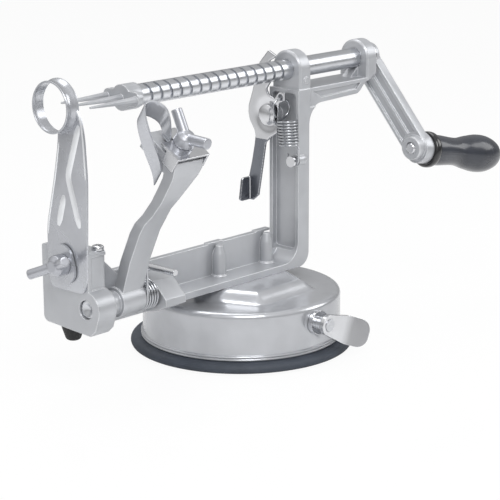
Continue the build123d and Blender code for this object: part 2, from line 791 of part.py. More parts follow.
def boss_face_x():
    """Face of the boss that the release lever swings on."""
    return tooth_x + lever_thickness / 2 + free_gap


def rubber_foot():
    """Rubber cone under the front block, its stem pressed into the block."""
    body = z_rod(foot_seat_z - foot_height, foot_seat_z, foot_x, foot_y, foot_tip_radius, foot_radius)
    body = fillet(body.edges().sort_by(Axis.Z)[0], foot_tip_radius * 0.6)
    return body + z_rod(foot_seat_z - cut_over, foot_seat_z + foot_stem, foot_x, foot_y, foot_stem_radius)


def edge_screw():
    """Pan head screw in the front block's top."""
    head = z_rod(block_top_z, block_top_z + edge_screw_head_height, edge_screw_x, edge_screw_y, edge_screw_head)
    head = fillet(head.edges().sort_by(Axis.Z)[-1], edge_screw_head_height * 0.6)
    head += z_rod(block_top_z - edge_screw_length, block_top_z, edge_screw_x, edge_screw_y, edge_screw_radius)
    slot = edge_screw_head_height * 0.2
    for along, across in ((edge_screw_head * 0.6, slot), (slot, edge_screw_head * 0.6)):
        head -= block_between(edge_screw_x - along, edge_screw_x + along, edge_screw_y - across, edge_screw_y + across,
                              block_top_z + edge_screw_head_height * 0.4, block_top_z + edge_screw_head_height * 2)
    return head


def feed_screw():
    """Shaft with one narrow right handed groove, a tang for the fork and a square for the crank."""
    square_x = crank_x - seat_gap
    body = x_rod(shaft_front_x, square_x, 0, axis_z, shaft_radius)
    body += x_rod(shaft_front_x - tang_length, shaft_front_x + cut_over, 0, axis_z, tang_radius)
    half = crank_square / 2
    end_x = nut_seat_x() + nut_height + stud_end_proud
    body += block_between(square_x - cut_over, nut_seat_x() - seat_gap * 2, -half, half, axis_z - half,
                          axis_z + half)
    body += x_rod(square_x, end_x, 0, axis_z, stud_end_radius)
    turns = (tooth_x - thread_start_x) / thread_pitch + 0.25
    start_x = tooth_x + thread_pitch / 4 - thread_pitch * turns
    helix = Helix(pitch=thread_pitch, height=thread_pitch * turns, radius=shaft_radius, center=(0, 0, 0),
                  direction=(1, 0, 0))
    depth = thread_depth * 2
    start = helix.position_at(0)
    way = helix.tangent_at(0)
    outward = Vector(0, start.Y, start.Z).normalized()
    section = Plane(origin=start, x_dir=outward, z_dir=way) * Rectangle(depth, thread_width)
    groove = sweep(section, path=helix, is_frenet=True)
    angle = degrees(atan2(start.Z, start.Y))
    turn = 90.0 - 360.0 * turns - angle
    groove = groove.rotate(Axis.X, turn)
    return body - Pos(start_x - start.X, 0, axis_z) * groove


def fork():
    """Cast fork: a hub on the shaft's tang, a cross bar and three tapered prongs."""
    hub_x = shaft_front_x - seat_gap
    tip_x = hub_x - tang_length - fork_floor
    body = x_rod(tip_x, hub_x, 0, axis_z, fork_hub_radius)
    bar = ((fork_half_width, axis_z + fork_bar_half), (-fork_half_width, axis_z + fork_bar_half),
           (-fork_half_width, axis_z - fork_bar_half), (fork_half_width, axis_z - fork_bar_half))
    body += yz_prism(bar, tip_x, tip_x + fork_plate, radius=fork_bar_half * 0.9)
    for y in (-prong_spread, 0, prong_spread):
        body += x_rod(tip_x - prong_length, tip_x + cut_over, y, axis_z, prong_tip_radius, prong_radius)
    return body - x_rod(tip_x + fork_floor, hub_x + cut_over, 0, axis_z, tang_radius + seat_gap)


def crank_washer():
    """Thin washer between the rear ear and the crank."""
    start = rear_ear_back_x + washer_gap
    body = x_rod(start, start + washer_thickness, 0, axis_z, washer_radius)
    return body - x_rod(start - cut_over, start + washer_thickness + cut_over, 0, axis_z, shaft_radius + free_gap)


def crank_way():
    """Direction of the crank arm from the shaft, and the centre of its boss."""
    angle = radians(crank_angle_deg)
    way = Vector(0, -sin(angle), -cos(angle))
    return way, Vector(0, 0, axis_z) + way * crank_length


def nut_seat_x():
    """Face at the bottom of the pocket in the crank's hub, where the nut bears."""
    return crank_x + crank_hub_depth - nut_pocket


def crank_spine():
    """Both ends of the crank arm's middle line: it starts beside the shaft and ends at the boss."""
    way, boss = crank_way()
    side = Vector(0, way.Z, -way.Y)
    return Vector(0, 0, axis_z) - side * crank_hub_offset, boss


def crank_bar(half_width, x_from, x_to):
    """Bar along the crank's spine, with a half width."""
    start, end = crank_spine()
    run = (end - start).normalized()
    side = Vector(0, run.Z, -run.Y) * half_width
    corners = [start + side, end + side, end - side, start - side]
    return yz_prism([(p.Y, p.Z) for p in corners], x_from, x_to)


def crank_hull(shrink, x_from, x_to):
    """The crank arm with both its round ends, shrunk by a rim."""
    half = crank_half_width - shrink
    body = crank_bar(half, x_from, x_to)
    for end in crank_spine():
        body += x_rod(x_from, x_to, end.Y, end.Z, half)
    return body


def crank_plate():
    """The crank's arm with sunk panels and a middle rib on both faces, leaning out to the boss."""
    way, boss = crank_way()
    back_x = crank_x + crank_depth
    body = crank_hull(0, crank_x, back_x)
    for x_from, x_to in ((crank_x - cut_over, crank_x + crank_recess), (back_x - crank_back_recess, back_x + cut_over)):
        panel = crank_hull(crank_rim, x_from, x_to)
        panel -= x_rod(x_from - cut_over, x_to + cut_over, 0, axis_z, crank_hub_radius + crank_rim)
        panel -= x_rod(x_from - cut_over, x_to + cut_over, boss.Y, boss.Z, crank_boss_radius)
        panel -= crank_bar(crank_rib / 2, x_from - cut_over, x_to + cut_over)
        body -= panel
    side = Vector(0, way.Z, -way.Y)
    return body.rotate(Axis((crank_x, 0, axis_z), side), crank_lean_deg)


def crank_arm():
    """Cast crank: a thin hub, an arm that leans outwards, and a boss for the handle's bolt."""
    way, boss = crank_way()
    far_x = crank_x + crank_depth * 3
    body = crank_plate()
    body -= block_between(crank_x - crank_depth, crank_x, -crank_length * 2, crank_length * 2,
                          axis_z - crank_length * 2, axis_z + crank_length)
    body += x_rod(crank_x, crank_x + crank_hub_depth, 0, axis_z, crank_hub_radius)
    body += x_rod(crank_x, crank_x + crank_boss_depth, boss.Y, boss.Z, crank_boss_face, crank_boss_radius)
    body += x_rod(crank_x - crank_boss_rise, crank_x + cut_over, boss.Y, boss.Z, crank_boss_face - crank_boss_rise)
    body -= x_rod(nut_seat_x(), far_x, 0, axis_z, nut_pocket_radius)
    half = crank_square / 2 + seat_gap
    body -= block_between(crank_x - cut_over, far_x, -half, half, axis_z - half, axis_z + half)
    face = collar_start - seat_gap
    body -= handle_bar(face, face + crank_boss_depth, collar_radius * 1.2)
    body += handle_bar(crank_boss_depth / 2, face, crank_boss_radius * 0.95)
    return body - handle_bar(-crank_boss_radius, handle_bolt_length, handle_bolt_radius + seat_gap)


def handle_axis():
    """Centre and direction of the grip's axis, splayed away from the shaft."""
    way, boss = crank_way()
    tilt = radians(splay_deg)
    return Vector(crank_x, boss.Y, boss.Z), (Vector(1, 0, 0) * cos(tilt) + way * sin(tilt)).normalized()


def handle_bar(start, end, radius):
    """Round bar along the grip's axis."""
    origin, way = handle_axis()
    return rod(origin + way * start, origin + way * end, radius)


def handle_bolt():
    """Steel bolt that the grip turns on, riveted over at the crank's face."""
    body = handle_bar(0, handle_bolt_length, handle_bolt_radius)
    way, boss = crank_way()
    cap_x = crank_x - crank_boss_rise
    body += x_rod(cap_x - handle_rivet_rise, cap_x, boss.Y, boss.Z, handle_rivet_radius * 0.8, handle_rivet_radius)
    return body + x_rod(cap_x, crank_x + cut_over, boss.Y, boss.Z, handle_rivet_radius)


def handle_collar():
    """Black collar on the bolt between crank and grip."""
    origin, way = handle_axis()
    round_off = collar_length * 0.28
    profile = ((collar_start, handle_bolt_radius + seat_gap), (collar_start, collar_radius),
               (collar_start + collar_length, collar_radius), (collar_start + collar_length, handle_bolt_radius + seat_gap))
    return turned(profile, origin, way, radius=(0, round_off, round_off, 0))


def handle_grip():
    """Pear shaped plastic grip that turns on the bolt."""
    origin, way = handle_axis()
    points = [(grip_start + s * grip_length, r * grip_radius) for s, r in grip_shares]
    end = (grip_start + grip_length, 0)
    side = Vector(0, 0, 1)
    plane = Plane(origin=origin, x_dir=way, z_dir=way.cross(side))
    crown = Spline(*points[1:], end, tangents=((1, 0), (0, -1)))
    sides = Polyline(end, (grip_start, 0), points[0], points[1])
    body = revolve(plane * make_face(crown + sides), Axis(origin, way))
    return body - handle_bar(grip_start - cut_over, handle_bolt_length + free_gap, handle_bolt_radius + running_gap)


def crank_nut():
    """Hexagon nut that holds the crank on the square."""
    start = nut_seat_x()
    plane = Plane(origin=(start, 0, axis_z), x_dir=(0, 1, 0), z_dir=(1, 0, 0))
    body = extrude(plane * RegularPolygon(nut_radius, 6), amount=nut_height)
    body &= turned(((0, 0), (nut_height, 0), (nut_height, nut_radius * 0.88), (nut_height * 0.8, nut_radius),
                    (0, nut_radius)), (start, 0, axis_z), (1, 0, 0))
    return body - x_rod(start - cut_over, start + nut_height + cut_over, 0, axis_z, stud_end_radius + seat_gap)


def release_lever():
    """Pressed lever that cups the feed screw and drops a tooth into its groove."""
    x_from = tooth_x - lever_thickness / 2
    x_to = tooth_x + lever_thickness / 2
    points = [(lever_shift_y + y * lever_height, lever_foot_z + z * lever_height) for y, z in lever_outline_shares]
    body = yz_prism(points, x_from, x_to)
    body -= x_rod(x_from - cut_over, x_to + cut_over, 0, axis_z, shaft_radius + free_gap)
    edge = shaft_radius + free_gap + tooth_reach
    body += block_between(tooth_x - tooth_thickness / 2, tooth_x + tooth_thickness / 2, shaft_radius - tooth_reach,
                          edge + cut_over, axis_z - tooth_half_height, axis_z + tooth_half_height)
    fold_y = lever_shift_y + lever_outline_shares[0][0] * lever_height
    tab = ((x_from + lever_thickness / 2, lever_foot_z), (x_from - tab_reach_low, lever_foot_z),
           (x_from - tab_reach_top, lever_foot_z + tab_height), (x_from + lever_thickness / 2, lever_foot_z + tab_height))
    radii = (0, lever_thickness, lever_thickness, 0)
    body += xz_prism(tab, fold_y - lever_thickness, fold_y, radius=radii)
    body -= x_rod(x_from - cut_over, x_to + cut_over, pivot_y, pivot_z, rivet_radius + running_gap)
    return body - x_rod(x_from - cut_over, x_to + cut_over, ear_hole_y, ear_hole_z, ear_hole_radius)


def release_rivet():
    """Domed rivet that the release lever swings on."""
    face = tooth_x - lever_thickness / 2 - free_gap
    profile = ((-rivet_dome, 0), (0, 0), (0, rivet_head_radius), (-rivet_dome * 0.35, rivet_head_radius),
               (-rivet_dome * 0.8, rivet_head_radius * 0.7), (-rivet_dome, rivet_head_radius * 0.35))
    body = turned(profile, (face, pivot_y, pivot_z), (1, 0, 0))
    body += x_rod(face, upright_back_x, pivot_y, pivot_z, rivet_radius)
    return body


def spring_stud():
    """Headed stud in the upright that the release spring hooks on."""
    body = x_rod(stud_head_x, stud_head_x + stud_head, stud_y, stud_z, stud_head_radius)
    return body + x_rod(stud_head_x, upright_x + upright_recess + stud_depth - seat_gap, stud_y, stud_z,
                        stud_shank_radius)


def ring_station(centre, right, up, radius, angle_deg):
    """Point and direction on a ring spanned by two directions."""
    angle = radians(angle_deg)
    place = centre + (right * cos(angle) + up * sin(angle)) * radius
    return place, up * cos(angle) - right * sin(angle)


def release_spring():
    """Extension spring: a hook round the stud, a coil, and a ring through the lever's ear."""
    up = Vector(0, 0, 1)
    hook_x = stud_head_x + stud_head + release_wire + free_gap
    lift = release_hook_radius - release_wire - stud_shank_radius - seat_gap
    hook_centre = Vector(hook_x, stud_y, stud_z + lift)
    hook = [ring_station(hook_centre, Vector(0, -1, 0), up, release_hook_radius, a) for a in (-210, -105, 0)]
    start = Vector(release_x, release_low_y, release_low_z)
    length = release_pitch * release_half_turns / 2
    axis = Vector(0, release_top_y - release_low_y, length).normalized()
    side = axis.cross(Vector(1, 0, 0)) * -1
    coil = coil_stations(start, axis, side, release_coil_radius, release_pitch, release_half_turns, -1)
    turn = radians(release_ring_turn_deg)
    drop = ear_hole_radius - release_wire - free_gap
    centre = Vector(tooth_x, ear_hole_y, ear_hole_z - drop - release_ring_radius)
    ring = [ring_station(centre, Vector(cos(turn), sin(turn), 0), up, release_ring_radius, a) for a in (-45, 95, 235)]
    body, path = wire_tube(hook + coil + ring, release_wire)
    print("release_spring: wire length", round(path.length, 1), "least gap", round(wire_gap(path, release_wire), 2))
    return body


def strip_points(shares):
    """Places on the slicing strip from its shares."""
    return [(y * strip_height, strip_low_z + z * strip_height) for y, z in shares]


def slicer_blade():
    """Coring ring and slicing strip pressed from one sheet."""
    face_x = block_x - seat_gap
    left = strip_points(strip_left_shares)
    right = strip_points(strip_right_shares)
    low = strip_points(strip_low_right_shares)
    body = yz_prism(left + right[::-1] + low, face_x - strip_thickness, face_x)
    ring_z = axis_z + ring_rise
    collar = x_rod(face_x - strip_thickness, face_x, 0, ring_z, ring_radius + ring_wall / 2)
    tube = x_rod(ring_front_x, face_x, 0, ring_z, ring_radius)
    bore = x_rod(ring_front_x - cut_over, face_x + cut_over, 0, ring_z, ring_radius - ring_wall)
    body += collar + tube
    body -= bore
    for shares in (rib_long_shares, rib_short_shares):
        points = strip_points(shares)
        for start, end in zip(points, points[1:]):
            body += rib_bar(start, end, face_x - strip_thickness)
    slot = ((clamp_y - clamp_screw_radius - seat_gap, clamp_z - clamp_slot_low),
            (clamp_y + clamp_screw_radius + seat_gap, clamp_z - clamp_slot_low),
            (clamp_y + clamp_screw_radius + seat_gap, clamp_z + clamp_slot_high),
            (clamp_y - clamp_screw_radius - seat_gap, clamp_z + clamp_slot_high))
    body -= yz_prism(slot, face_x - strip_thickness * 2, face_x + cut_over, radius=clamp_screw_radius * 0.9)
    return body


def rib_bar(start, end, face_x):
    """Pressed rib from one place to another on the strip's front."""
    half = rib_width / 2
    run = Vector(0, end[0] - start[0], end[1] - start[1])
    side = Vector(0, -run.Z, run.Y).normalized()
    a, b = Vector(0, *start), Vector(0, *end)
    foot = [a + side * half, b + side * half, b - side * half, a - side * half]
    top_half = half - rib_height
    way = run.normalized() * rib_height
    top = [a + side * top_half + way, b + side * top_half - way, b - side * top_half - way, a - side * top_half + way]
    foot_plane = Plane(origin=(face_x, 0, 0), x_dir=(0, 1, 0), z_dir=(1, 0, 0))
    top_plane = Plane(origin=(face_x - rib_height, 0, 0), x_dir=(0, 1, 0), z_dir=(1, 0, 0))
    return loft([top_plane * outline([(p.Y, p.Z) for p in top]), foot_plane * outline([(p.Y, p.Z) for p in foot])])


def clamp_plate():
    """Oval washer that clamps the strip to the block."""
    x_to = block_x - seat_gap - strip_thickness - rib_height
    plane = Plane(origin=(x_to - clamp_thickness, clamp_y, clamp_z), x_dir=(0, 1, 0), z_dir=(1, 0, 0))
    shape = Rot(0, 0, 90 - clamp_tilt_deg) * SlotOverall(clamp_length, clamp_width)
    body = extrude(plane * shape, amount=clamp_thickness)
    return body - x_rod(x_to - clamp_thickness - cut_over, x_to + cut_over, clamp_y, clamp_z,
                        clamp_screw_radius + free_gap)


def wing_screw():
    """Wing screw through the clamp plate and strip into the block."""
    face = block_x - seat_gap - strip_thickness - rib_height - clamp_thickness - seat_gap
    start = face - wing_hub_length
    profile = ((0, 0), (wing_hub_length, 0), (wing_hub_length, wing_hub_radius), (wing_hub_length * 0.3, wing_hub_radius),
               (0, wing_hub_radius * 0.6))
    body = turned(profile, (start, clamp_y, clamp_z), (1, 0, 0))
    body += x_rod(face - cut_over, block_x + screw_depth, clamp_y, clamp_z, clamp_screw_radius)
    tilt = radians(wing_tilt_deg)
    root = Vector(start + wing_hub_length / 2, clamp_y, clamp_z)
    for side in (-1, 1):
        out = Vector(0, cos(tilt) * side, -sin(tilt) * side)
        body += rod(root, root + out * wing_reach + Vector(-wing_forward, 0, 0), wing_radius)
    return body


def arm_side(shift):
    """Outline of the peeling arm seen along X, its near face moved in by a shift."""
    t = arm_thickness
    hub_y = arm_axis_y - arm_hub_radius * 0.66
    lean = seat_y - hub_y
    rise = seat_z - arm_axis_z
    # shares of the lean and of the rise from the hub to the seat
    near_shares = ((0.0, 0.05), (0.20, 0.30), (0.43, 0.51), (0.78, 0.735), (0.95, 0.895), (1.0, 1.0))
    near = [(hub_y + lean * a + shift, arm_axis_z + rise * b) for a, b in near_shares]
    open_back = cut_over * 2 if shift else 0
    far = [(y + t - shift + open_back, z) for y, z in near]
    return near + far[::-1]


def arm_front(shrink):
    """Outline of the peeling arm seen along Y, shrunk by a wall."""
    rise = seat_z - arm_axis_z
    # shares of the rise from the hub to the seat
    left = ((arm_left_x, 0.0), (arm_left_x, 0.58), (arm_left_x + 0.4 * arm_thickness, 0.64),
            (seat_x - seat_half_width - seat_cheek * 0.4, 0.84), (seat_x - seat_half_width, 0.93),
            (seat_x - seat_half_width, 1.0))
    right = ((arm_right_x, 0.0), (arm_right_x, 0.67), (arm_right_x + 0.3 * arm_thickness, 0.73),
             (seat_x + seat_half_width * 0.75, 0.89), (seat_x + seat_half_width, 0.94), (seat_x + seat_half_width, 1.0))
    left = [(x + shrink, arm_axis_z + rise * s) for x, s in left]
    right = [(x - shrink, arm_axis_z + rise * s) for x, s in right]
    return left + right[::-1]


def seat_plane(u, n, side=0.0):
    """Plane on the arm's head: x along X, y up the tilted seat, and its normal outwards."""
    tilt = radians(seat_tilt_deg)
    up = Vector(0, sin(tilt), cos(tilt))
    normal = Vector(0, -cos(tilt), sin(tilt))
    origin = Vector(seat_x + side, seat_y, seat_z) + up * u + normal * n
    return Plane(origin=origin, x_dir=(1, 0, 0), z_dir=normal)


def seat_block(x_from, x_to, u_from, u_to, n_from, n_to):
    """Block on the head's tilted seat."""
    points = ((x_from, u_from), (x_to, u_from), (x_to, u_to), (x_from, u_to))
    return extrude(seat_plane(0, n_from) * outline(points), amount=n_to - n_from)


def seat_rod(u, side, n_from, n_to, radius, end_radius=None):
    """Round bar square to the head's seat."""
    low, high = seat_plane(u, n_from, side), seat_plane(u, n_to, side)
    return rod(low.origin, high.origin, radius, end_radius)


def peeling_arm():
    """Cast arm: pivot hub, leaning limb hollowed at the back, and a tilted head with two cheeks."""
    reach = arm_thickness * 12
    limb = yz_prism(arm_side(0), arm_left_x, seat_x + seat_half_width)
    limb &= xz_prism(arm_front(0), seat_y - arm_thickness, arm_axis_y + arm_thickness)
    hollow = yz_prism(arm_side(arm_wall), arm_left_x, seat_x + seat_half_width)
    lower = xz_prism(arm_front(arm_wall), seat_y - arm_thickness, arm_axis_y + arm_thickness * 2)
    keep = block_between(arm_left_x, seat_x + seat_half_width, seat_y - arm_thickness, arm_axis_y + arm_thickness,
                         arm_axis_z + arm_hub_radius + arm_wall, seat_z - seat_plate - arm_wall)
    limb -= (hollow & lower & keep)
    hub = x_rod(arm_hub_x, arm_hub_back_x, arm_axis_y, arm_axis_z, arm_hub_radius)
    hub += x_rod(block_back_x + free_gap, arm_hub_x + cut_over, arm_axis_y, arm_axis_z, collar_hub_radius)
    half = seat_half_width
    head = seat_block(-half, half, 0, seat_length, -seat_plate, 0)
    head += seat_block(-half, -half + seat_cheek, 0, seat_length, -seat_cheek_depth, 0)
    head += seat_block(half - seat_cheek, half, 0, seat_length, -seat_cheek_depth, 0)
    head += seat_rod(stud_u, stud_side, -seat_plate, seat_pad_rise, seat_pad_radius)
    body = limb + hub + head
    body -= x_rod(block_back_x - cut_over, arm_hub_back_x + cut_over, arm_axis_y, arm_axis_z,
                  pivot_rod_radius + running_gap)
    body -= torsion_hole()
    return body - seat_rod(stud_u, stud_side, -seat_plate - reach, seat_pad_rise + cut_over, blade_stud_radius + seat_gap)


def pivot_rod():
    """Steel rod from the front block to the lug, with a cap in the block's face."""
    start = block_x + rod_cap_recess * 0.3
    body = x_rod(start, block_x + rod_cap_recess, arm_axis_y, arm_axis_z, rod_cap_radius)
    return body + x_rod(start, lug_back_x - pivot_rod_end - seat_gap, arm_axis_y, arm_axis_z, pivot_rod_radius)


def stop_pin():
    """Pin across the beam that the torsion spring's leg bears on."""
    return y_rod(-stop_pin_reach, web_y + web_thickness, stop_pin_x, stop_pin_z, stop_pin_radius)


def torsion_start():
    """Centre of the torsion spring's first turn."""
    return Vector(arm_hub_back_x + torsion_wire + free_gap, arm_axis_y, arm_axis_z)


def torsion_hole():
    """Hole in the arm's side for the torsion spring's bent tip."""
    start = torsion_start()
    y = start.Y - torsion_radius
    z = start.Z + torsion_arm_leg
    return x_rod(arm_right_x - torsion_tip - seat_gap, arm_right_x + cut_over, y, z, torsion_hole_radius)


def torsion_spring():
    """Spring on the arm's rod, one leg into the arm's side and one under the stop pin."""
    start = torsion_start()
    along, up = Vector(1, 0, 0), Vector(0, 0, 1)
    coil = coil_stations(start, along, Vector(0, -1, 0), torsion_radius, torsion_pitch, torsion_half_turns)
    first, last = coil[0][0], coil[-1][0]
    bend_x = Vector(torsion_bend, 0, 0)
    bend_z = Vector(0, 0, torsion_bend)
    knee = first + Vector(0, 0, torsion_arm_leg)
    tip = Vector(arm_right_x - torsion_tip, knee.Y, knee.Z)
    short = (knee - tip).X * 0.6
    arm_leg = [(tip, along), (knee - Vector(short, 0, 0), along), (knee - Vector(0, 0, short), up * -1),
               (first + bend_z, up * -1)]
    top_z = stop_pin_z - stop_pin_radius - torsion_wire - seat_gap
    corner = Vector(last.X, last.Y, top_z)
    far = Vector(stop_pin_x + stop_pin_radius, last.Y, top_z)
    pin_leg = [(last + bend_z, up), (corner - bend_z, up), (corner + bend_x, along), (far, along)]
    body, path = wire_tube(arm_leg + coil + pin_leg, torsion_wire)
    print("torsion_spring: wire length", round(path.length, 1), "least gap", round(wire_gap(path, torsion_wire), 2))
    return body


def blade_band():
    """The looped strip of the peeling blade, its width running down towards the seat."""
    outer = [Vector(blade_left_x + x * blade_height, blade_low_z + z * blade_height) for x, z in blade_path_shares]
    ways = [b - a for a, b in zip(outer[:1] + outer[:-1], outer[1:] + outer[-1:])]
    inner = [p + Vector(w.Y, -w.X).normalized() * blade_thickness for p, w in zip(outer, ways)]
    sides = Spline(*outer) + Spline(*inner) + Line(outer[0], inner[0]) + Line(outer[-1], inner[-1])
    plane = Plane(origin=(0, blade_y, 0), x_dir=(1, 0, 0), z_dir=(0, -1, 0))
    way = seat_plane(0, 0).z_dir * -1
    band = extrude(plane * make_face(sides), amount=blade_width, dir=way)
    half = seat_half_width - seat_gap
    return band - seat_block(-half, half, -seat_length, seat_length * 2, -blade_height, seat_pad_rise)


def blade_leg_x():
    """Place of the blade's inner leg across the seat, from the seat's centre."""
    return blade_left_x - seat_x + blade_path_shares[-1][0] * blade_height


def peeling_blade():
    """Looped strip blade, its inner leg turned into a tab under the clip."""
    body = blade_band()
    body += seat_block(blade_leg_x() - blade_thickness, stud_side + blade_tab_reach, blade_tab_u, blade_tab_end_u,
                       seat_pad_rise, seat_pad_rise + blade_thickness)
    return body - seat_rod(stud_u, stud_side, 0, seat_pad_rise * 3, blade_stud_radius + seat_gap)


def blade_clip():
    """Pressed clip over the blade's tab, with flaps down both sides."""
    low = seat_pad_rise + blade_thickness
    half = seat_half_width + clip_overhang + clip_gap
    body = seat_block(-half, half, -clip_overhang, clip_step_u, low, low + clip_thickness)
    body += seat_block(blade_leg_x() + free_gap * 3, half, clip_step_u - clip_overhang, clip_length, low,
                       low + clip_thickness)
    for side in (-1, 1):
        x_from = min(side * half, side * (half - clip_thickness))
        x_to = max(side * half, side * (half - clip_thickness))
        body += seat_block(x_from, x_to, -clip_overhang, clip_flap_length, low - clip_flap, low + clip_thickness)
    return body - seat_rod(stud_u, stud_side, 0, low * 2, blade_stud_radius + seat_gap)


def nut_face():
    """Height above the seat where the wing nut bears."""
    return seat_pad_rise + blade_thickness + clip_thickness


def blade_stud():
    """Stud pressed into the arm's head."""
    return seat_rod(stud_u, stud_side, -seat_plate, -seat_plate + blade_stud_length, blade_stud_radius)


def blade_wing_nut():
    """Domed wing nut with two round wings."""
    foot = seat_plane(stud_u, nut_face(), stud_side)
    normal = foot.z_dir
    height = wing_nut_height
    profile = ((0, 0), (height, 0), (height * 0.9, wing_nut_radius * 0.55), (height * 0.6, wing_nut_radius * 0.9),
               (0, wing_nut_radius))
    body = turned(profile, foot.origin, normal)
    turn = radians(wing_nut_turn_deg)
    rise = radians(wing_nut_wing_rise_deg)
    root = foot.origin + normal * (height * 0.45)
    for side in (-1, 1):
        flat = (foot.x_dir * cos(turn) + foot.y_dir * sin(turn)) * side
        way = flat * cos(rise) + normal * sin(rise)
        body += rod(root, root + way * wing_nut_wing_length, wing_nut_wing_radius)
    body -= seat_block(-seat_half_width * 2, seat_half_width * 2, -seat_length, seat_length * 2,
                       nut_face() - wing_nut_wing_length, nut_face())
    return body - seat_rod(stud_u, stud_side, nut_face() - cut_over, -seat_plate + blade_stud_length + seat_gap,
                           blade_stud_radius + seat_gap)


pieces = {
    "base_housing": base_housing, "suction_cup": suction_cup, "cup_stem": cup_stem, "lever_bush": lever_bush,
    "cam_shaft": cam_shaft, "lift_cam": lift_cam, "cam_pin": cam_pin, "lock_lever": lock_lever,
    "base_screws": base_screws, "frame_casting": frame_casting, "rubber_foot": rubber_foot,
    "edge_screw": edge_screw, "feed_screw": feed_screw, "fork": fork, "crank_washer": crank_washer,
    "crank_arm": crank_arm, "crank_nut": crank_nut, "handle_bolt": handle_bolt, "handle_collar": handle_collar,
    "handle_grip": handle_grip, "release_lever": release_lever, "release_rivet": release_rivet,
    "spring_stud": spring_stud, "release_spring": release_spring, "slicer_blade": slicer_blade,
    "clamp_plate": clamp_plate, "wing_screw": wing_screw, "peeling_arm": peeling_arm, "pivot_rod": pivot_rod,
    "stop_pin": stop_pin, "torsion_spring": torsion_spring, "peeling_blade": peeling_blade,
    "blade_clip": blade_clip, "blade_stud": blade_stud, "blade_wing_nut": blade_wing_nut,
}

os.makedirs("parts", exist_ok=True)
for name, make in pieces.items():
    export_step(make(), "parts/" + name + ".step")
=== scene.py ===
"""Hand cranked apple peeler on a suction base: its finished pieces, materials, stage and camera."""

import json
from math import cos, exp, pi, radians, sin

import bmesh
import bpy
from mathutils import Matrix, Vector

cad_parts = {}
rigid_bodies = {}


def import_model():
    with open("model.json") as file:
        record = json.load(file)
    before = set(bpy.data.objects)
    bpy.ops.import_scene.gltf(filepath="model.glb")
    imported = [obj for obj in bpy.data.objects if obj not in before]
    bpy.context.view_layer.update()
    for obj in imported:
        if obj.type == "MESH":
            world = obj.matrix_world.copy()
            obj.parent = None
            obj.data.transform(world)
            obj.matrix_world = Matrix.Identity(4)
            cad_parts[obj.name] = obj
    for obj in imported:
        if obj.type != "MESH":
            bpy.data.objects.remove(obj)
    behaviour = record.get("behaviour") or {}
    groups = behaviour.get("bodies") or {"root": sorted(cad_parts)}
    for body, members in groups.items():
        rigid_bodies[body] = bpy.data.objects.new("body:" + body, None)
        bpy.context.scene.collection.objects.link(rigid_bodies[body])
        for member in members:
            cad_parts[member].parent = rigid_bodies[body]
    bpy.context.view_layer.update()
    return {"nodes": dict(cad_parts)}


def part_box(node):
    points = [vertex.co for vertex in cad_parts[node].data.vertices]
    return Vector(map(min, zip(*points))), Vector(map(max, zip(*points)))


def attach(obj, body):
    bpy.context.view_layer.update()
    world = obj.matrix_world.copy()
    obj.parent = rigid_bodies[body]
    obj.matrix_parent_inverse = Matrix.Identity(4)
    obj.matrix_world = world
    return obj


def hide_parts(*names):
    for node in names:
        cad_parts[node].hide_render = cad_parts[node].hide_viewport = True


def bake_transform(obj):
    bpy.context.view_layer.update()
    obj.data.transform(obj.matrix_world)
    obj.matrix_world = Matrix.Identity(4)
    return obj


bl_info = {
    "name": "Apple peeler",
    "version": (1, 0, 0),
    "blender": (4, 5, 0),
    "location": "View3D > Sidebar > Peeler",
    "description": "Dresses the packed apple peeler in its finished pieces and materials",
    "category": "Object",
}

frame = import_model()

# Sizes below are in millimetres, as in the part's own source, and a profile's points are (along, out)
MM = 0.001
up = Vector((0, 0, 1))
backwards = Vector((1, 0, 0))

# Angles in degrees over which an edge stays sharp, by how the piece is made
cast_sharp = 32
machined_sharp = 40
moulded_sharp = 50
flowed_sharp = 60

# Suction base
drum_radius = 49.0
drum_wall = 1.2
drum_foot_z = 5.2
drum_top_z = 28.3
drum_shoulder = 2.6
drum_inside_turn = 2.4
drum_wall_levels = (20.0, 14.0)
bead_radius = 0.65
bead_proud = 1.0
bead_reach = 80
bead_steps = 8
bead_gaps = (0.7, 0.15)
pad_top_z = 33.5
pad_corners = ((25.0, 5.0), (16.0, 26.0), (-16.0, 26.0), (-25.0, 5.0),
               (-25.0, -5.0), (-16.0, -26.0), (16.0, -26.0), (25.0, -5.0))
pad_slope = 8.2
pad_slope_inner = 1.6
cup_radius = 55.1
cup_ring_inner = 45.6
cup_round = 0.8
boss_radius = 16.0
boss_gap = 0.25
boss_low = 2.8
boss_high = 7.4
boss_round = 0.6
cup_profile = ((0.8, boss_radius + boss_gap), (0.0, 20.0), (0.25, cup_radius - 2.2), (0.9, cup_radius - 0.5),
               (1.9, cup_radius), (3.0, cup_radius), (4.2, cup_radius - 0.7), (5.0, cup_radius - 2.2),
               (5.2, drum_radius + 0.4), (5.2, cup_ring_inner + 0.6), (4.2, cup_ring_inner), (3.0, 44.0),
               (4.3, boss_radius + boss_gap))
boss_profile = ((boss_low, 0), (boss_low, boss_radius), (boss_high, boss_radius), (boss_high, 0))

# Feed screw
axis_z = 132.6
shaft_line = Vector((0, 0, axis_z))
shaft_radius = 5.0
shaft_front_x = -70.0
shaft_middle_x = 60.0
shaft_back_x = 94.4
shaft_chamfer = 0.3
thread_pitch = 6.35
thread_width = 1.6
thread_depth = 1.0
thread_corner = 0.08
thread_start_x = -66.0
thread_run_in = 2.5
thread_fade = 2.0
tooth_x = 28.3
thread_end_x = tooth_x + thread_pitch * 0.25
bar_end_x = tooth_x + thread_pitch * 0.4
first_turn = -17
last_turn = 1
rows_per_turn = 36
bar_columns = 72
tang_x = shaft_front_x - 7.0
tang_radius = 3.0
square_start_x = shaft_back_x - 1
square_half = 2.5
square_end_x = 97.3
stud_end_x = 99.5
stud_radius = 2.0

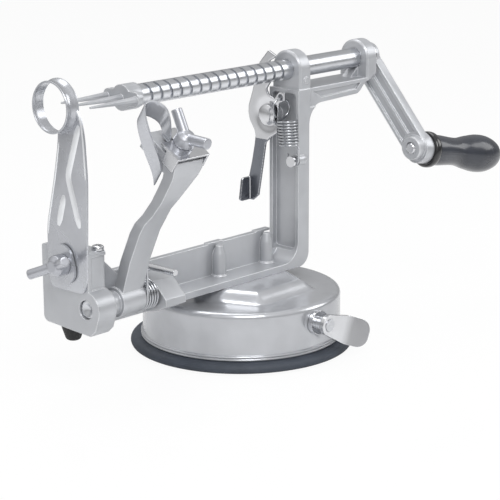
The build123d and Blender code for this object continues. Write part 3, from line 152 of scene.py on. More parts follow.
# Crank handle
crank_x = 94.5
crank_length = 54.5
crank_angle = radians(34.9)
splay = radians(13.0)
bolt_clear = 3.1
collar_start = 9.6
collar_length = 4.4
collar_radius = 9.4
collar_round_share = 0.42
grip_start = 14.3
grip_length = 50.7
grip_radius = 9.9
grip_bore_share = 0.85
grip_mouth_share = 0.76
grip_shares = ((0.0, 0.80), (0.10, 0.80), (0.34, 0.73), (0.50, 0.88), (0.65, 1.0), (0.78, 0.97),
               (0.90, 0.76), (0.97, 0.46), (0.993, 0.22), (1.0, 0.0))

# Release lever and its spring
# Below this height, the lever's faces that face outwards take nickel darkened as painted shade
release_shade_below_z = 97.0
release_shade_facing = -0.9
release_pivot = Vector((7.3, 109.7))
release_skin = 0.28
release_rounds = 4
dish_radius = 5.6
dish_width = 2.2
dish_depth = 0.8
dish_band = 0.35
release_wire = 0.5
release_coil_radius = 4.6
release_pitch = 1.45
release_half_turns = 17
release_low = Vector((26.1, -8.2, 96.6))
release_top_y = -6.8
release_ring_radius = 4.9
release_ring_turn = radians(-14.0)
release_ring_centre = Vector((28.3, -0.9, 113.8))
release_ring_arc = (-45, 235)
release_hook_radius = 3.6
release_hook_centre = Vector((29.0, -8.2, 89.5))
release_hook_arc = (-210, 0)

# Peeling arm's rod and torsion spring
block_x = -114.2
rod_radius = 3.0
rod_chamfer = 0.3
rod_neck_x = block_x + 3.4
rod_cap_profile = ((1.7, 0), (1.4, 1.4), (0.1, 3.0), (0, 3.4), (0.15, 4.0), (0.35, 4.1))
torsion_wire = 0.6
torsion_radius = 6.6
torsion_pitch = 1.6
torsion_half_turns = 9
torsion_start = Vector((-82.7, -13.0, 43.6))
torsion_arm_leg = 15.0
torsion_tip_x = -86.0
torsion_top_z = 51.8
torsion_far_x = -68.5
torsion_arm_bend = 1.6
torsion_pin_bend = 2.2
wire_sides = 14

# Wing nut and wing screw
wing_skin = 0.32
wing_rounds = 5

# Coring ring and slicing strip
strip_face_x = -114.3
strip_thickness = 1.0
strip_low_z = 51.0
strip_height = 95.0
strip_corner = 5.0
strip_edge = 0.18
strip_left_shares = ((0.085, 0.0), (0.104, 0.06), (0.106, 0.246), (0.103, 0.305), (0.044, 0.542),
                     (0.010, 0.711))
strip_right_shares = ((-0.180, 0.54), (-0.166, 0.752), (-0.146, 0.832), (-0.112, 0.893), (-0.072, 0.943),
                      (-0.035, 0.976), (0.005, 0.990))
strip_low_right_shares = ((-0.168, 0.250), (-0.160, 0.06), (-0.140, 0.0))
ring_z = 133.6
ring_front_x = -120.4
ring_wall = 0.8
ring_middle = 11.9
ring_inner = ring_middle - ring_wall
ring_bore = ring_middle - ring_wall / 2
ring_outer = ring_middle + ring_wall / 2
ring_depth = strip_face_x - ring_front_x
ring_foot = ring_depth - strip_thickness
ring_profile = ((0.0, ring_inner - 0.15), (0.15, ring_inner - 0.25), (2.0, ring_inner - 0.2),
                (ring_depth, ring_inner), (ring_depth, ring_outer), (ring_foot + 0.3, ring_outer),
                (ring_foot - 0.3, ring_outer - 0.15), (ring_foot - 1.0, ring_outer - 0.45),
                (ring_foot - 2.2, ring_outer - 0.7), (1.1, ring_outer - 0.8), (0.9, ring_outer - 0.68),
                (0.25, ring_outer - 0.6), (0.0, ring_outer - 0.8))
bore_half = 4
rib_height = 0.5
rib_width = 4.0
rib_bend = 3.0
rib_sink = 0.12
rib_spacing = 0.8
rib_taper = 5
rib_strips = 12
rib_end_share = 0.25
rib_long_shares = ((-0.136, 0.80), (-0.050, 0.55), (-0.124, 0.31))
rib_short_shares = ((-0.022, 0.46), (0.026, 0.30))
rim_height = 0.22
rim_width = 1.1
rim_inset = Vector((0, 0.75, 0))
rim_left_bend = 4.0
rim_right_bend = 1.0

# Camera, fitted to the photograph: its place in metres, its directions and its lens in millimetres
camera_place = Vector((-0.61007, -0.57435, 0.26650))
camera_right = Vector((0.68110, -0.73218, -0.00292))
camera_up = Vector((0.18770, 0.17074, 0.96727))
camera_ahead = Vector((0.70772, 0.65936, -0.25372))
camera_lens = 126.59

# Studio in metres: floor, and each lamp's name, place, height of its target, width and power in watts
floor_size = 6.0
lamps = (("key", (-0.55, -0.75, 0.95), 0.07, 0.55, 6.5), ("fill", (0.75, -0.55, 0.55), 0.07, 0.5, 2.2),
         ("top", (0.1, 0.35, 1.05), 0.06, 0.6, 3.2))


def linear(hex_colour):
    """Linear colour of an sRGB hex value."""
    values = [int(hex_colour[i:i + 2], 16) / 255 for i in (1, 3, 5)]
    return tuple(v / 12.92 if v <= 0.04045 else ((v + 0.055) / 1.055) ** 2.4 for v in values)


def add(tree, kind, settings=None):
    """Adds a node with its settings, and links it where a setting is another node's socket."""
    node = tree.nodes.new(kind)
    for key, value in (settings or {}).items():
        if isinstance(value, bpy.types.NodeSocket):
            tree.links.new(value, node.inputs[key])
        elif isinstance(key, int) or key in node.inputs:
            node.inputs[key].default_value = value
        else:
            setattr(node, key, value)
    return node


def a_colour(name, description, hex_colour):
    """A colour that a user can change."""
    return bpy.props.FloatVectorProperty(name=name, description=description, size=3, subtype="COLOR",
                                         default=linear(hex_colour), min=0, max=1)


def a_length(name, description, size_mm, most_mm=2):
    """A length that a user can change."""
    return bpy.props.FloatProperty(name=name, description=description, default=size_mm * MM, min=0,
                                   max=most_mm * MM, unit="LENGTH", precision=5)


class PeelerColours(bpy.types.PropertyGroup):
    """Colours of the peeler's finishes."""
    casting: a_colour("Casting", "Satin die cast aluminium", "#B9BBBF")
    drum: a_colour("Drum", "Silver lacquer on the pressed drum", "#C2C4C8")
    nickel: a_colour("Nickel", "Bright nickel plate", "#D4D5D8")
    # Painted shade: a darker nickel for the release lever's foot, standing in for its dark reflection
    painted_shade_nickel: a_colour("Dark nickel", "Nickel darkened as painted shade on the release lever's foot", "#7E8188")
    zinc: a_colour("Zinc", "Satin zinc plate of the wing nut and screw", "#B6B8BE")
    ground: a_colour("Ground steel", "Ground steel of the feed screw", "#CBCDD1")
    strip: a_colour("Strip steel", "Rolled stainless strip", "#BDBFC4")
    # Painted highlight: the ribs and rims are lighter than the strip, standing in for the light they catch
    rib: a_colour("Rib", "Ribs and rims of the slicing strip, lightened as painted highlight", "#E9EBEE")
    wire: a_colour("Spring wire", "Drawn and plated spring wire", "#B9BBBF")
    rubber: a_colour("Cup rubber", "Moulded rubber of the cup", "#3C424C")
    foot: a_colour("Foot rubber", "Black rubber of the foot", "#1A1A1C")
    grip: a_colour("Grip", "Moulded polypropylene of the grip", "#31343C")
    collar: a_colour("Collar", "Polished ABS of the collar", "#141416")


class PeelerSizes(bpy.types.PropertyGroup):
    """Sizes of the peeler's finished pieces that a user would change."""
    edge_round: a_length("Cast edge", "Radius of the castings' edges", 0.8, 3)
    pressed_round: a_length("Pressed edge", "Radius of pressed and plated edges", 0.35)
    release_wire: a_length("Release wire", "Wire radius of the release spring", release_wire)
    torsion_wire: a_length("Torsion wire", "Wire radius of the torsion spring", torsion_wire)
    groove_depth: a_length("Groove depth", "Depth of the feed screw's groove", thread_depth)
    groove_width: a_length("Groove width", "Width of the feed screw's groove", thread_width, 4)


def new_material(name):
    """A new material, its node tree and its shader."""
    material = bpy.data.materials.new(name)
    material.use_nodes = True
    return material, material.node_tree, material.node_tree.nodes["Principled BSDF"]


def clouded(tree, place, colour, cloud_mm, darkest, lightest):
    """A colour that is a little darker and lighter in clouds, and the clouds themselves."""
    clouds = add(tree, "ShaderNodeTexNoise", {"Scale": 1 / (cloud_mm * MM), "Detail": 2.0, "Vector": place})
    shade = add(tree, "ShaderNodeMapRange", {
        "Value": clouds.outputs["Fac"], "From Min": 0.3, "From Max": 0.7, "To Min": darkest,
        "To Max": lightest})
    mixed = add(tree, "ShaderNodeMix", {
        "data_type": "RGBA", "blend_type": "MULTIPLY", 0: 1.0, 6: (*colour, 1.0), 7: shade.outputs["Result"]})
    return mixed.outputs[2], clouds.outputs["Fac"]


def metal(name, finish, metallic, roughness, grain_mm, depth_mm, edge_mm=0, edge_highlight_gain=0, streak=(1, 1, 1)):
    """Metal with a grain in its surface, cloudy gloss, and rounder edges whose colour is lightened as a
    painted edge highlight.
    """
    if name in bpy.data.materials:
        return bpy.data.materials[name]
    material, tree, shader = new_material(name)
    colour = getattr(bpy.context.scene.peeler_colours, finish)
    place = add(tree, "ShaderNodeTexCoord").outputs["Object"]
    mixed, clouds = clouded(tree, place, colour, cloud_mm=14.0, darkest=0.93, lightest=1.05)
    along = add(tree, "ShaderNodeMapping", {"Scale": streak, "Vector": place}).outputs["Vector"]
    grain = add(tree, "ShaderNodeTexNoise", {
        "Scale": 1 / (grain_mm * MM), "Detail": 3.0, "Roughness": 0.6, "Vector": along}).outputs["Fac"]
    bump = add(tree, "ShaderNodeBump", {"Strength": 0.5, "Distance": depth_mm * MM, "Height": grain})
    if edge_mm:
        round_edge = add(tree, "ShaderNodeBevel", {"samples": 6, "Radius": edge_mm * MM}).outputs["Normal"]
        tree.links.new(round_edge, bump.inputs["Normal"])
        true_normal = add(tree, "ShaderNodeNewGeometry").outputs["True Normal"]
        facing = add(tree, "ShaderNodeVectorMath", {
            "operation": "DOT_PRODUCT", 0: round_edge, 1: true_normal}).outputs["Value"]
        edge = add(tree, "ShaderNodeMapRange", {
            "Value": facing, "From Min": 0.985, "From Max": 0.75}).outputs["Result"]
        # Painted highlight: the base colour is lightened within the rounded edges
        edge_highlight = tuple(min(1.0, c + edge_highlight_gain) for c in colour)
        mixed = add(tree, "ShaderNodeMix", {
            "data_type": "RGBA", 0: edge, 6: mixed, 7: (*edge_highlight, 1.0)}).outputs[2]
    rough = add(tree, "ShaderNodeMapRange", {
        "Value": clouds, "From Min": 0.3, "From Max": 0.7, "To Min": roughness * 0.9,
        "To Max": roughness * 1.12})
    shader.inputs["Metallic"].default_value = metallic
    tree.links.new(mixed, shader.inputs["Base Color"])
    tree.links.new(rough.outputs["Result"], shader.inputs["Roughness"])
    tree.links.new(bump.outputs["Normal"], shader.inputs["Normal"])
    return material


def painted_shade_nickel():
    """Nickel darkened as painted shade, standing in for the dark reflection on the release lever's foot; its
    edges are lightened as a painted highlight.
    """
    return metal("nickel over rolled face", "painted_shade_nickel", metallic=0.9, roughness=0.28, grain_mm=0.7,
                 depth_mm=0.012, edge_mm=0.6, edge_highlight_gain=0.5)


def satin_zinc():
    """Zinc plate over a casting: the wing nut and the wing screw shine softly, with rims lightened as a
    painted highlight.
    """
    return metal("satin zinc plate", "zinc", metallic=0.75, roughness=0.31, grain_mm=1.4, depth_mm=0.002,
                 edge_mm=0.3, edge_highlight_gain=0.25)


def cast_aluminium():
    """Die cast aluminium, tumbled and clear lacquered: soft satin shine, fine grain, and edges lightened as a
    painted highlight.
    """
    edge = bpy.context.scene.peeler_sizes.edge_round / MM
    return metal("satin die cast aluminium", "casting", metallic=0.45, roughness=0.34, grain_mm=0.8,
                 depth_mm=0.003, edge_mm=edge, edge_highlight_gain=0.35)


def lacquered_steel():
    """Pressed steel under silver lacquer: a smooth, half glossy skin with the faint sparkle of its flake; its
    edges are lightened a little as a painted highlight.
    """
    return metal("silver lacquered steel", "drum", metallic=0.6, roughness=0.2, grain_mm=1.0, depth_mm=0.001,
                 edge_mm=0.4, edge_highlight_gain=0.15)


def bright_nickel():
    """Bright nickel plate: a near mirror that is a little soft where the zinc below is rough; its edges are
    lightened a little as a painted highlight.
    """
    edge = bpy.context.scene.peeler_sizes.pressed_round / MM
    return metal("bright nickel plate", "nickel", metallic=1.0, roughness=0.17, grain_mm=1.4, depth_mm=0.001,
                 edge_mm=edge, edge_highlight_gain=0.1)


def ground_steel():
    """Centreless ground steel: bright, with the fine rings that grinding leaves round the bar."""
    return metal("ground bright steel", "ground", metallic=1.0, roughness=0.29, grain_mm=1.6,
                 depth_mm=0.0004, streak=(6, 1, 1))


def rolled_strip():
    """Cold rolled stainless strip: satin, with faint rolling lines up its length."""
    return metal("cold rolled stainless strip", "strip", metallic=0.7, roughness=0.26, grain_mm=1.5,
                 depth_mm=0.0003, streak=(1, 2, 0.3))


def highlighted_rib():
    """Stainless of the raised ribs and rims: a little glossier than the sheet, and lightened as a painted
    highlight for the light they catch.
    """
    return metal("burnished stainless rib", "rib", metallic=0.6, roughness=0.22, grain_mm=1.5,
                 depth_mm=0.0003)


def spring_wire():
    """Drawn and zinc plated spring wire: bright, with a fine plated grain."""
    return metal("plated spring wire", "wire", metallic=1.0, roughness=0.2, grain_mm=1.6, depth_mm=0.0005)


def polymer(name, finish, roughness, grain_mm, depth_mm, coat=0.0, seam=None):
    """Moulded rubber or plastic: colour with a slight bloom, a moulded grain, and a seam where it has one."""
    if name in bpy.data.materials:
        return bpy.data.materials[name]
    material, tree, shader = new_material(name)
    shader.inputs["Coat Weight"].default_value = coat
    shader.inputs["Coat Roughness"].default_value = 0.08
    place = add(tree, "ShaderNodeTexCoord").outputs["Object"]
    colour = getattr(bpy.context.scene.peeler_colours, finish)
    mixed = clouded(tree, place, colour, cloud_mm=9.0, darkest=0.85, lightest=1.15)[0]
    grain = add(tree, "ShaderNodeTexNoise", {
        "Scale": 1 / (grain_mm * MM), "Detail": 4.0, "Vector": place}).outputs["Fac"]
    rough = add(tree, "ShaderNodeMapRange", {
        "Value": grain, "To Min": roughness * 0.85, "To Max": roughness * 1.15})
    normal = add(tree, "ShaderNodeBump", {
        "Strength": 0.5, "Distance": depth_mm * MM, "Height": grain}).outputs["Normal"]
    if seam:
        origin, side = seam
        offset = add(tree, "ShaderNodeVectorMath", {"operation": "SUBTRACT", 0: place, 1: origin})
        away = add(tree, "ShaderNodeVectorMath", {
            "operation": "DOT_PRODUCT", 0: offset.outputs["Vector"], 1: side})
        near = add(tree, "ShaderNodeMath", {"operation": "ABSOLUTE", 0: away.outputs["Value"]})
        ridge = add(tree, "ShaderNodeMapRange", {
            "Value": near.outputs["Value"], "From Max": 0.3 * MM, "To Min": 1.0, "To Max": 0.0})
        normal = add(tree, "ShaderNodeBump", {
            "Strength": 0.6, "Distance": 0.15 * MM, "Normal": normal,
            "Height": ridge.outputs["Result"]}).outputs["Normal"]
    tree.links.new(mixed, shader.inputs["Base Color"])
    tree.links.new(rough.outputs["Result"], shader.inputs["Roughness"])
    tree.links.new(normal, shader.inputs["Normal"])
    return material


def soften(points, reach, steps=4, closed=False):
    """A line of points with its corners rounded."""
    points = [Vector(p) for p in points]
    count = len(points)
    out = []
    for i, point in enumerate(points):
        if not closed and i in (0, count - 1):
            out.append(point)
            continue
        before = points[i - 1] - point
        after = points[(i + 1) % count] - point
        limit = min(reach, before.length * 0.48, after.length * 0.48)
        start = point + before.normalized() * limit
        end = point + after.normalized() * limit
        for j in range(steps + 1):
            t = j / steps
            out.append(start * (1 - t) ** 2 + point * (2 * t * (1 - t)) + end * t ** 2)
    return out


def smooth_line(points, steps):
    """A smooth line through points, by cubic pieces."""
    points = [Vector(p) for p in points]
    out = []
    for i in range(len(points) - 1):
        a = points[max(i - 1, 0)]
        b, c = points[i], points[i + 1]
        d = points[min(i + 2, len(points) - 1)]
        for j in range(steps):
            t = j / steps
            out.append(0.5 * (2 * b + (c - a) * t + (2 * a - 5 * b + 4 * c - d) * t ** 2
                              + (3 * b - 3 * c + d - a) * t ** 3))
    out.append(points[-1])
    return out


def bridge(start, start_way, end, end_way, steps=10):
    """Smooth run between two points, with a direction at each."""
    reach = (end - start).length
    out = []
    for j in range(1, steps):
        t = j / steps
        out.append(start * (2 * t ** 3 - 3 * t ** 2 + 1) + start_way * reach * (t ** 3 - 2 * t ** 2 + t)
                   + end * (3 * t ** 2 - 2 * t ** 3) + end_way * reach * (t ** 3 - t ** 2))
    return out


def lathe(bm, profile, origin, way, segments, closed=False):
    """Adds a turned form of (along, out) points about a line."""
    side = up if abs(way.z) < 0.7 else Vector((0, 1, 0))
    right = way.cross(side).normalized()
    top = right.cross(way)
    rows = []
    for along, out in profile:
        centre = origin + way * along
        if out <= 1e-6:
            rows.append([bm.verts.new(centre * MM)])
            continue
        turn = [2 * pi * i / segments for i in range(segments)]
        rows.append([bm.verts.new((centre + (right * cos(a) + top * sin(a)) * out) * MM) for a in turn])
    pairs = list(zip(rows, rows[1:])) + ([(rows[-1], rows[0])] if closed else [])
    for low, high in pairs:
        for i in range(segments):
            j = (i + 1) % segments
            corners = [low[i % len(low)], low[j % len(low)], high[j % len(high)], high[i % len(high)]]
            corners = list(dict.fromkeys(corners))
            if len(corners) > 2:
                bm.faces.new(corners)


def made(bm, name, merge_mm=0.001):
    """Mesh of a form, its doubles merged and its faces turned outwards."""
    bmesh.ops.remove_doubles(bm, verts=bm.verts, dist=merge_mm * MM)
    bmesh.ops.dissolve_degenerate(bm, edges=bm.edges, dist=1e-8)
    bmesh.ops.recalc_face_normals(bm, faces=bm.faces)
    mesh = bpy.data.meshes.new(name)
    bm.to_mesh(mesh)
    bm.free()
    return mesh


def turned(name, profile, origin, way, segments, closed=False):
    """Mesh of one turned form."""
    bm = bmesh.new()
    lathe(bm, profile, origin, way, segments, closed)
    return made(bm, name)


def settle(name, mesh, body, material, nodes, sharp_deg, second=None, stretch=None):
    """Puts a mesh in the scene as a piece of the peeler, with a second finish where its faces ask for one.
    A piece with stretch is baked where it lies and joins no body; what stretch holds is not used."""
    marks = [face.material_index for face in mesh.polygons]
    mesh.materials.clear()
    mesh.materials.append(material)
    if second:
        mesh.materials.append(second)
        mesh.polygons.foreach_set("material_index", marks)
    mesh.shade_smooth()
    mesh.set_sharp_from_angle(angle=radians(sharp_deg))
    piece = bpy.data.objects.new(name, mesh)
    bpy.context.scene.collection.objects.link(piece)
    if stretch:
        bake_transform(piece)
    else:
        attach(piece, body)
    if nodes:
        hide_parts(*nodes)


def evaluated(piece):
    """Plain mesh of a piece with its modifiers applied."""
    graph = bpy.context.evaluated_depsgraph_get()
    return bpy.data.meshes.new_from_object(piece.evaluated_get(graph))


def merged_copy(node):
    """Copy of a CAD node's mesh with its loose triangles joined."""
    bm = bmesh.new()
    bm.from_mesh(frame["nodes"][node].data)
    bmesh.ops.remove_doubles(bm, verts=bm.verts, dist=0.0005 * MM)
    mesh = bpy.data.meshes.new(node + "_form")
    bm.to_mesh(mesh)
    bm.free()
    for name in ("custom_normal", "sharp_edge", "sharp_face"):
        if name in mesh.attributes:
            mesh.attributes.remove(mesh.attributes[name])
    return mesh


def dressed(node, body, material, sharp_deg=cast_sharp):
    """A CAD node's own form as a smoothly shaded piece."""
    settle(node + "_finished", merged_copy(node), body, material, (node,), sharp_deg)


def melted(node, voxel_mm, rounds):
    """Mesh of a node in an even skin, with every edge and inner corner softened."""
    carrier = bpy.data.objects.new(node + "_carrier", merged_copy(node))
    bpy.context.scene.collection.objects.link(carrier)
    grid = carrier.modifiers.new("Even skin", "REMESH")
    grid.mode = "VOXEL"
    grid.voxel_size = voxel_mm * MM
    ease = carrier.modifiers.new("Cast softness", "SMOOTH")
    ease.factor = 0.5
    ease.iterations = rounds
    mesh = evaluated(carrier)
    bpy.data.objects.remove(carrier)
    return mesh


def fused(node, body):
    """A small zinc casting, as the metal flows into its corners and round its edges."""
    settle(node + "_finished", melted(node, wing_skin, wing_rounds), body, satin_zinc(), (node,),
           flowed_sharp)


def pad_height(x, y):
    """Height of the drum's raised pad above the drum's top at a place."""
    inside = -1e9
    near = 1e9
    corners = [Vector(corner) for corner in pad_corners]
    point = Vector((x, y))
    for a, b in zip(corners, corners[1:] + corners[:1]):
        run = b - a
        normal = Vector((run.y, -run.x)).normalized()
        inside = max(inside, (point - a).dot(normal))
        t = max(0.0, min(1.0, (point - a).dot(run) / run.length_squared))
        near = min(near, (point - a - run * t).length)
    away = near if inside > 0 else inside
    share = max(0.0, min(1.0, 1 - (away + pad_slope_inner) / pad_slope))
    return (pad_top_z - drum_top_z) * share ** 2 * (3 - 2 * share)


def drum_mesh():
    """Pressed drum: flat top with a soft lozenge pad, round shoulder, wall and rolled double bead."""
    top_steps = 56
    shoulder_steps = 8
    turn_radius = drum_radius - drum_shoulder
    inner = drum_radius - drum_wall
    under_z = drum_top_z - drum_wall
    wall_low = drum_foot_z + 4 * bead_radius
    flat = [turn_radius * i / top_steps for i in range(top_steps + 1)]
    rows = [(drum_top_z, radius) for radius in flat]
    for i in range(1, shoulder_steps + 1):
        angle = pi / 2 * i / shoulder_steps
        rows.append((drum_top_z - drum_shoulder * (1 - cos(angle)), turn_radius + drum_shoulder * sin(angle)))
    rows += [(z, drum_radius) for z in (*drum_wall_levels, *(wall_low + gap for gap in bead_gaps))]
    for level in (3, 1):
        centre_z = drum_foot_z + level * bead_radius
        for i in range(bead_steps + 1):
            angle = radians(bead_reach * (1 - 2 * i / bead_steps))
            rows.append((centre_z + bead_radius * sin(angle),
                         drum_radius - bead_radius + bead_proud + bead_radius * cos(angle)))
    rows += [(drum_foot_z, drum_radius), (drum_foot_z, inner), (under_z - drum_inside_turn, inner)]
    rows += [(under_z, radius) for radius in reversed(flat)]
    bm = bmesh.new()
    lathe(bm, rows, Vector(), up, segments=224)
    for vertex in bm.verts:
        if vertex.co.z > (under_z - 0.01) * MM:
            vertex.co.z += pad_height(vertex.co.x / MM, vertex.co.y / MM) * MM
    return made(bm, "drum")


class PEELER_OT_base(bpy.types.Operator):
    """Makes the drum, the rubber cup, the bush and the locking lever"""
    bl_idname = "peeler.base"
    bl_label = "Suction base"

    def execute(self, context):
        settle("drum_finished", drum_mesh(), "frame", lacquered_steel(), ("base_housing",),
               moulded_sharp)
        # Moulded rubber of the cup, matt grey with a bloom: it takes no sharp highlight
        rubber = polymer("moulded cup rubber", "rubber", roughness=0.62, grain_mm=1.5, depth_mm=0.05)
        cup = turned("cup", soften(cup_profile, cup_round, closed=True), Vector(), up, segments=192,
                     closed=True)
        settle("cup_finished", cup, "frame", rubber, ("suction_cup",), moulded_sharp)
        # The cup's middle is drawn up and let down with the stem that it is moulded on
        boss = turned("cup_boss", soften(boss_profile, boss_round), Vector(), up, segments=128)
        settle("cup_boss_finished", boss, "stem", rubber, (), moulded_sharp)
        dressed("lever_bush", "frame", bright_nickel())
        dressed("lock_lever", "cam", bright_nickel(), machined_sharp)
        for node in ("cam_shaft", "lift_cam"):
            dressed(node, "cam", ground_steel())
        return {"FINISHED"}


class PEELER_OT_castings(bpy.types.Operator):
    """Finishes the castings, the fork, the foot, the arm's rod and the small fasteners"""
    bl_idname = "peeler.castings"
    bl_label = "Castings and fasteners"

    def execute(self, context):
        for node, body in (("frame_casting", "frame"), ("peeling_arm", "arm"), ("crank_arm", "shaft"),
                           ("fork", "shaft")):
            dressed(node, body, cast_aluminium())
        # Black natural rubber of the foot: matt, scuffed lighter in clouds
        foot = polymer("black foot rubber", "foot", roughness=0.6, grain_mm=1.2, depth_mm=0.04)
        dressed("rubber_foot", "frame", foot, moulded_sharp)
        for node in ("edge_screw", "release_rivet", "spring_stud", "stop_pin"):
            dressed(node, "frame", bright_nickel(), machined_sharp)
        low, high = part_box("pivot_rod")
        start, end = low.x / MM, high.x / MM
        rod = [(start + along, out) for along, out in rod_cap_profile]
        rod += [(rod_neck_x, rod[-1][1]), (rod_neck_x, rod_radius), (end - rod_chamfer, rod_radius),
                (end, rod_radius - rod_chamfer), (end, 0)]
        line = Vector((0, torsion_start.y, torsion_start.z))
        settle("pivot_rod_finished", turned("pivot_rod", rod, line, backwards, segments=64), "frame",
               ground_steel(), ("pivot_rod",), machined_sharp)
        for node, body in (("crank_nut", "shaft"), ("handle_bolt", "shaft"), ("crank_washer", "carriage"),
                           ("blade_stud", "arm")):
            dressed(node, body, bright_nickel(), machined_sharp)
        return {"FINISHED"}


def interface(tree, names, kind, way="INPUT"):
    """Adds named sockets of a kind to a node tree."""
    for name in names:
        tree.interface.new_socket(name, in_out=way, socket_type=kind)


def socket_id(tree, name):
    """Identifier of a tree's named input."""
    for item in tree.interface.items_tree:
        if item.item_type == "SOCKET" and item.in_out == "INPUT" and item.name == name:
            return item.identifier
    raise RuntimeError("the tree has no input " + name)


def run_tree(tree, carrier, values):
    """Runs a node tree on a carrier object and returns the result as a plain mesh."""
    bpy.context.scene.collection.objects.link(carrier)
    modifier = carrier.modifiers.new(tree.name, "NODES")
    modifier.node_group = tree
    for name, value in values.items():
        modifier[socket_id(tree, name)] = value
    mesh = evaluated(carrier)
    bpy.data.objects.remove(carrier)
    if len(mesh.vertices) == 0:
        raise RuntimeError(tree.name + " made nothing")
    return mesh


def coated(tree, geometry, finish, name):
    """Ends a tree: real geometry in its finish, given out under a name."""
    real = add(tree, "GeometryNodeRealizeInstances", {"Geometry": geometry})
    coat = add(tree, "GeometryNodeSetMaterial", {"Geometry": real.outputs[0], "Material": finish})
    add(tree, "NodeGroupOutput", {name: coat.outputs[0]})
    return tree


def groove_tree():
    """Tree that makes the feed screw's bar with its helical groove from a grid of rows and columns."""
    tree = bpy.data.node_groups.new("Grooved bar", "GeometryNodeTree")
    interface(tree, ("Radius", "Pitch", "Groove width", "Groove depth", "Groove start", "Groove end",
                     "Bar start", "Bar end", "First turn", "Axis height"), "NodeSocketFloat")
    interface(tree, ("Rows", "Rows per turn", "Columns"), "NodeSocketInt")
    interface(tree, ("Finish",), "NodeSocketMaterial")
    interface(tree, ("Bar",), "NodeSocketGeometry", "OUTPUT")
    values = {socket.name: socket for socket in add(tree, "NodeGroupInput").outputs}
    values["index"] = add(tree, "GeometryNodeInputIndex").outputs[0]
    # Each row of the grid goes once round the bar and climbs one pitch, so the groove runs along the rows.
    # Each step is its result's name, its operation, and what it works on: earlier results or numbers
    steps = (("columns", "ADD", "Columns", 1), ("counted", "ADD", "index", 0.5),
             ("rows", "DIVIDE", "counted", "columns"), ("row", "FLOOR", "rows"),
             ("passed", "MULTIPLY", "row", "columns"), ("column", "SUBTRACT", "index", "passed"),
             ("share", "DIVIDE", "column", "Columns"), ("angle", "MULTIPLY", "share", 2 * pi),
             ("phase", "DIVIDE", "row", "Rows per turn"), ("whole turns", "ADD", "phase", "First turn"),
             ("turns", "ADD", "whole turns", "share"), ("climb", "MULTIPLY", "turns", "Pitch"),
             ("along", "ADD", "climb", tooth_x * MM), ("from start", "MAXIMUM", "along", "Bar start"),
             ("x", "MINIMUM", "from start", "Bar end"), ("swing", "PINGPONG", "phase", 0.5),
             ("offset", "MULTIPLY", "swing", "Pitch"), ("half", "MULTIPLY", "Groove width", 0.5),
             ("near", "SUBTRACT", "half", thread_corner * MM), ("far", "ADD", "half", thread_corner * MM),
             ("cut", "SMOOTHSTEP", "offset", "near", "far", 1.0, 0.0),
             ("begun", "ADD", "Groove start", thread_fade * MM),
             ("ending", "SUBTRACT", "Groove end", thread_fade * MM),
             ("run in", "LINEAR", "along", "Groove start", "begun"),
             ("run out", "LINEAR", "along", "Groove end", "ending"),
             ("full depth", "MULTIPLY", "cut", "Groove depth"), ("faded", "MULTIPLY", "run in", "run out"),
             ("depth", "MULTIPLY", "full depth", "faded"), ("reach", "SUBTRACT", "Radius", "depth"),
             ("cosine", "COSINE", "angle"), ("y", "MULTIPLY", "reach", "cosine"), ("sine", "SINE", "angle"),
             ("rise", "MULTIPLY", "reach", "sine"), ("z", "ADD", "rise", "Axis height"))
    for name, operation, *given in steps:
        is_range = operation in ("LINEAR", "SMOOTHSTEP")
        settings = {"interpolation_type" if is_range else "operation": operation}
        settings.update((i, values.get(value, value)) for i, value in enumerate(given))
        node = add(tree, "ShaderNodeMapRange" if is_range else "ShaderNodeMath", settings)
        values[name] = node.outputs[0]
    grid = add(tree, "GeometryNodeMeshGrid", {
        "Size X": 1.0, "Size Y": 1.0, "Vertices X": values["Rows"], "Vertices Y": values["columns"]})
    place = add(tree, "ShaderNodeCombineXYZ", {0: values["x"], 1: values["y"], 2: values["z"]})
    moved = add(tree, "GeometryNodeSetPosition", {
        "Geometry": grid.outputs["Mesh"], "Position": place.outputs[0]})
    joined = add(tree, "GeometryNodeMergeByDistance", {"Distance": 0.001 * MM, "Geometry": moved.outputs[0]})
    return coated(tree, joined.outputs[0], values["Finish"], "Bar")


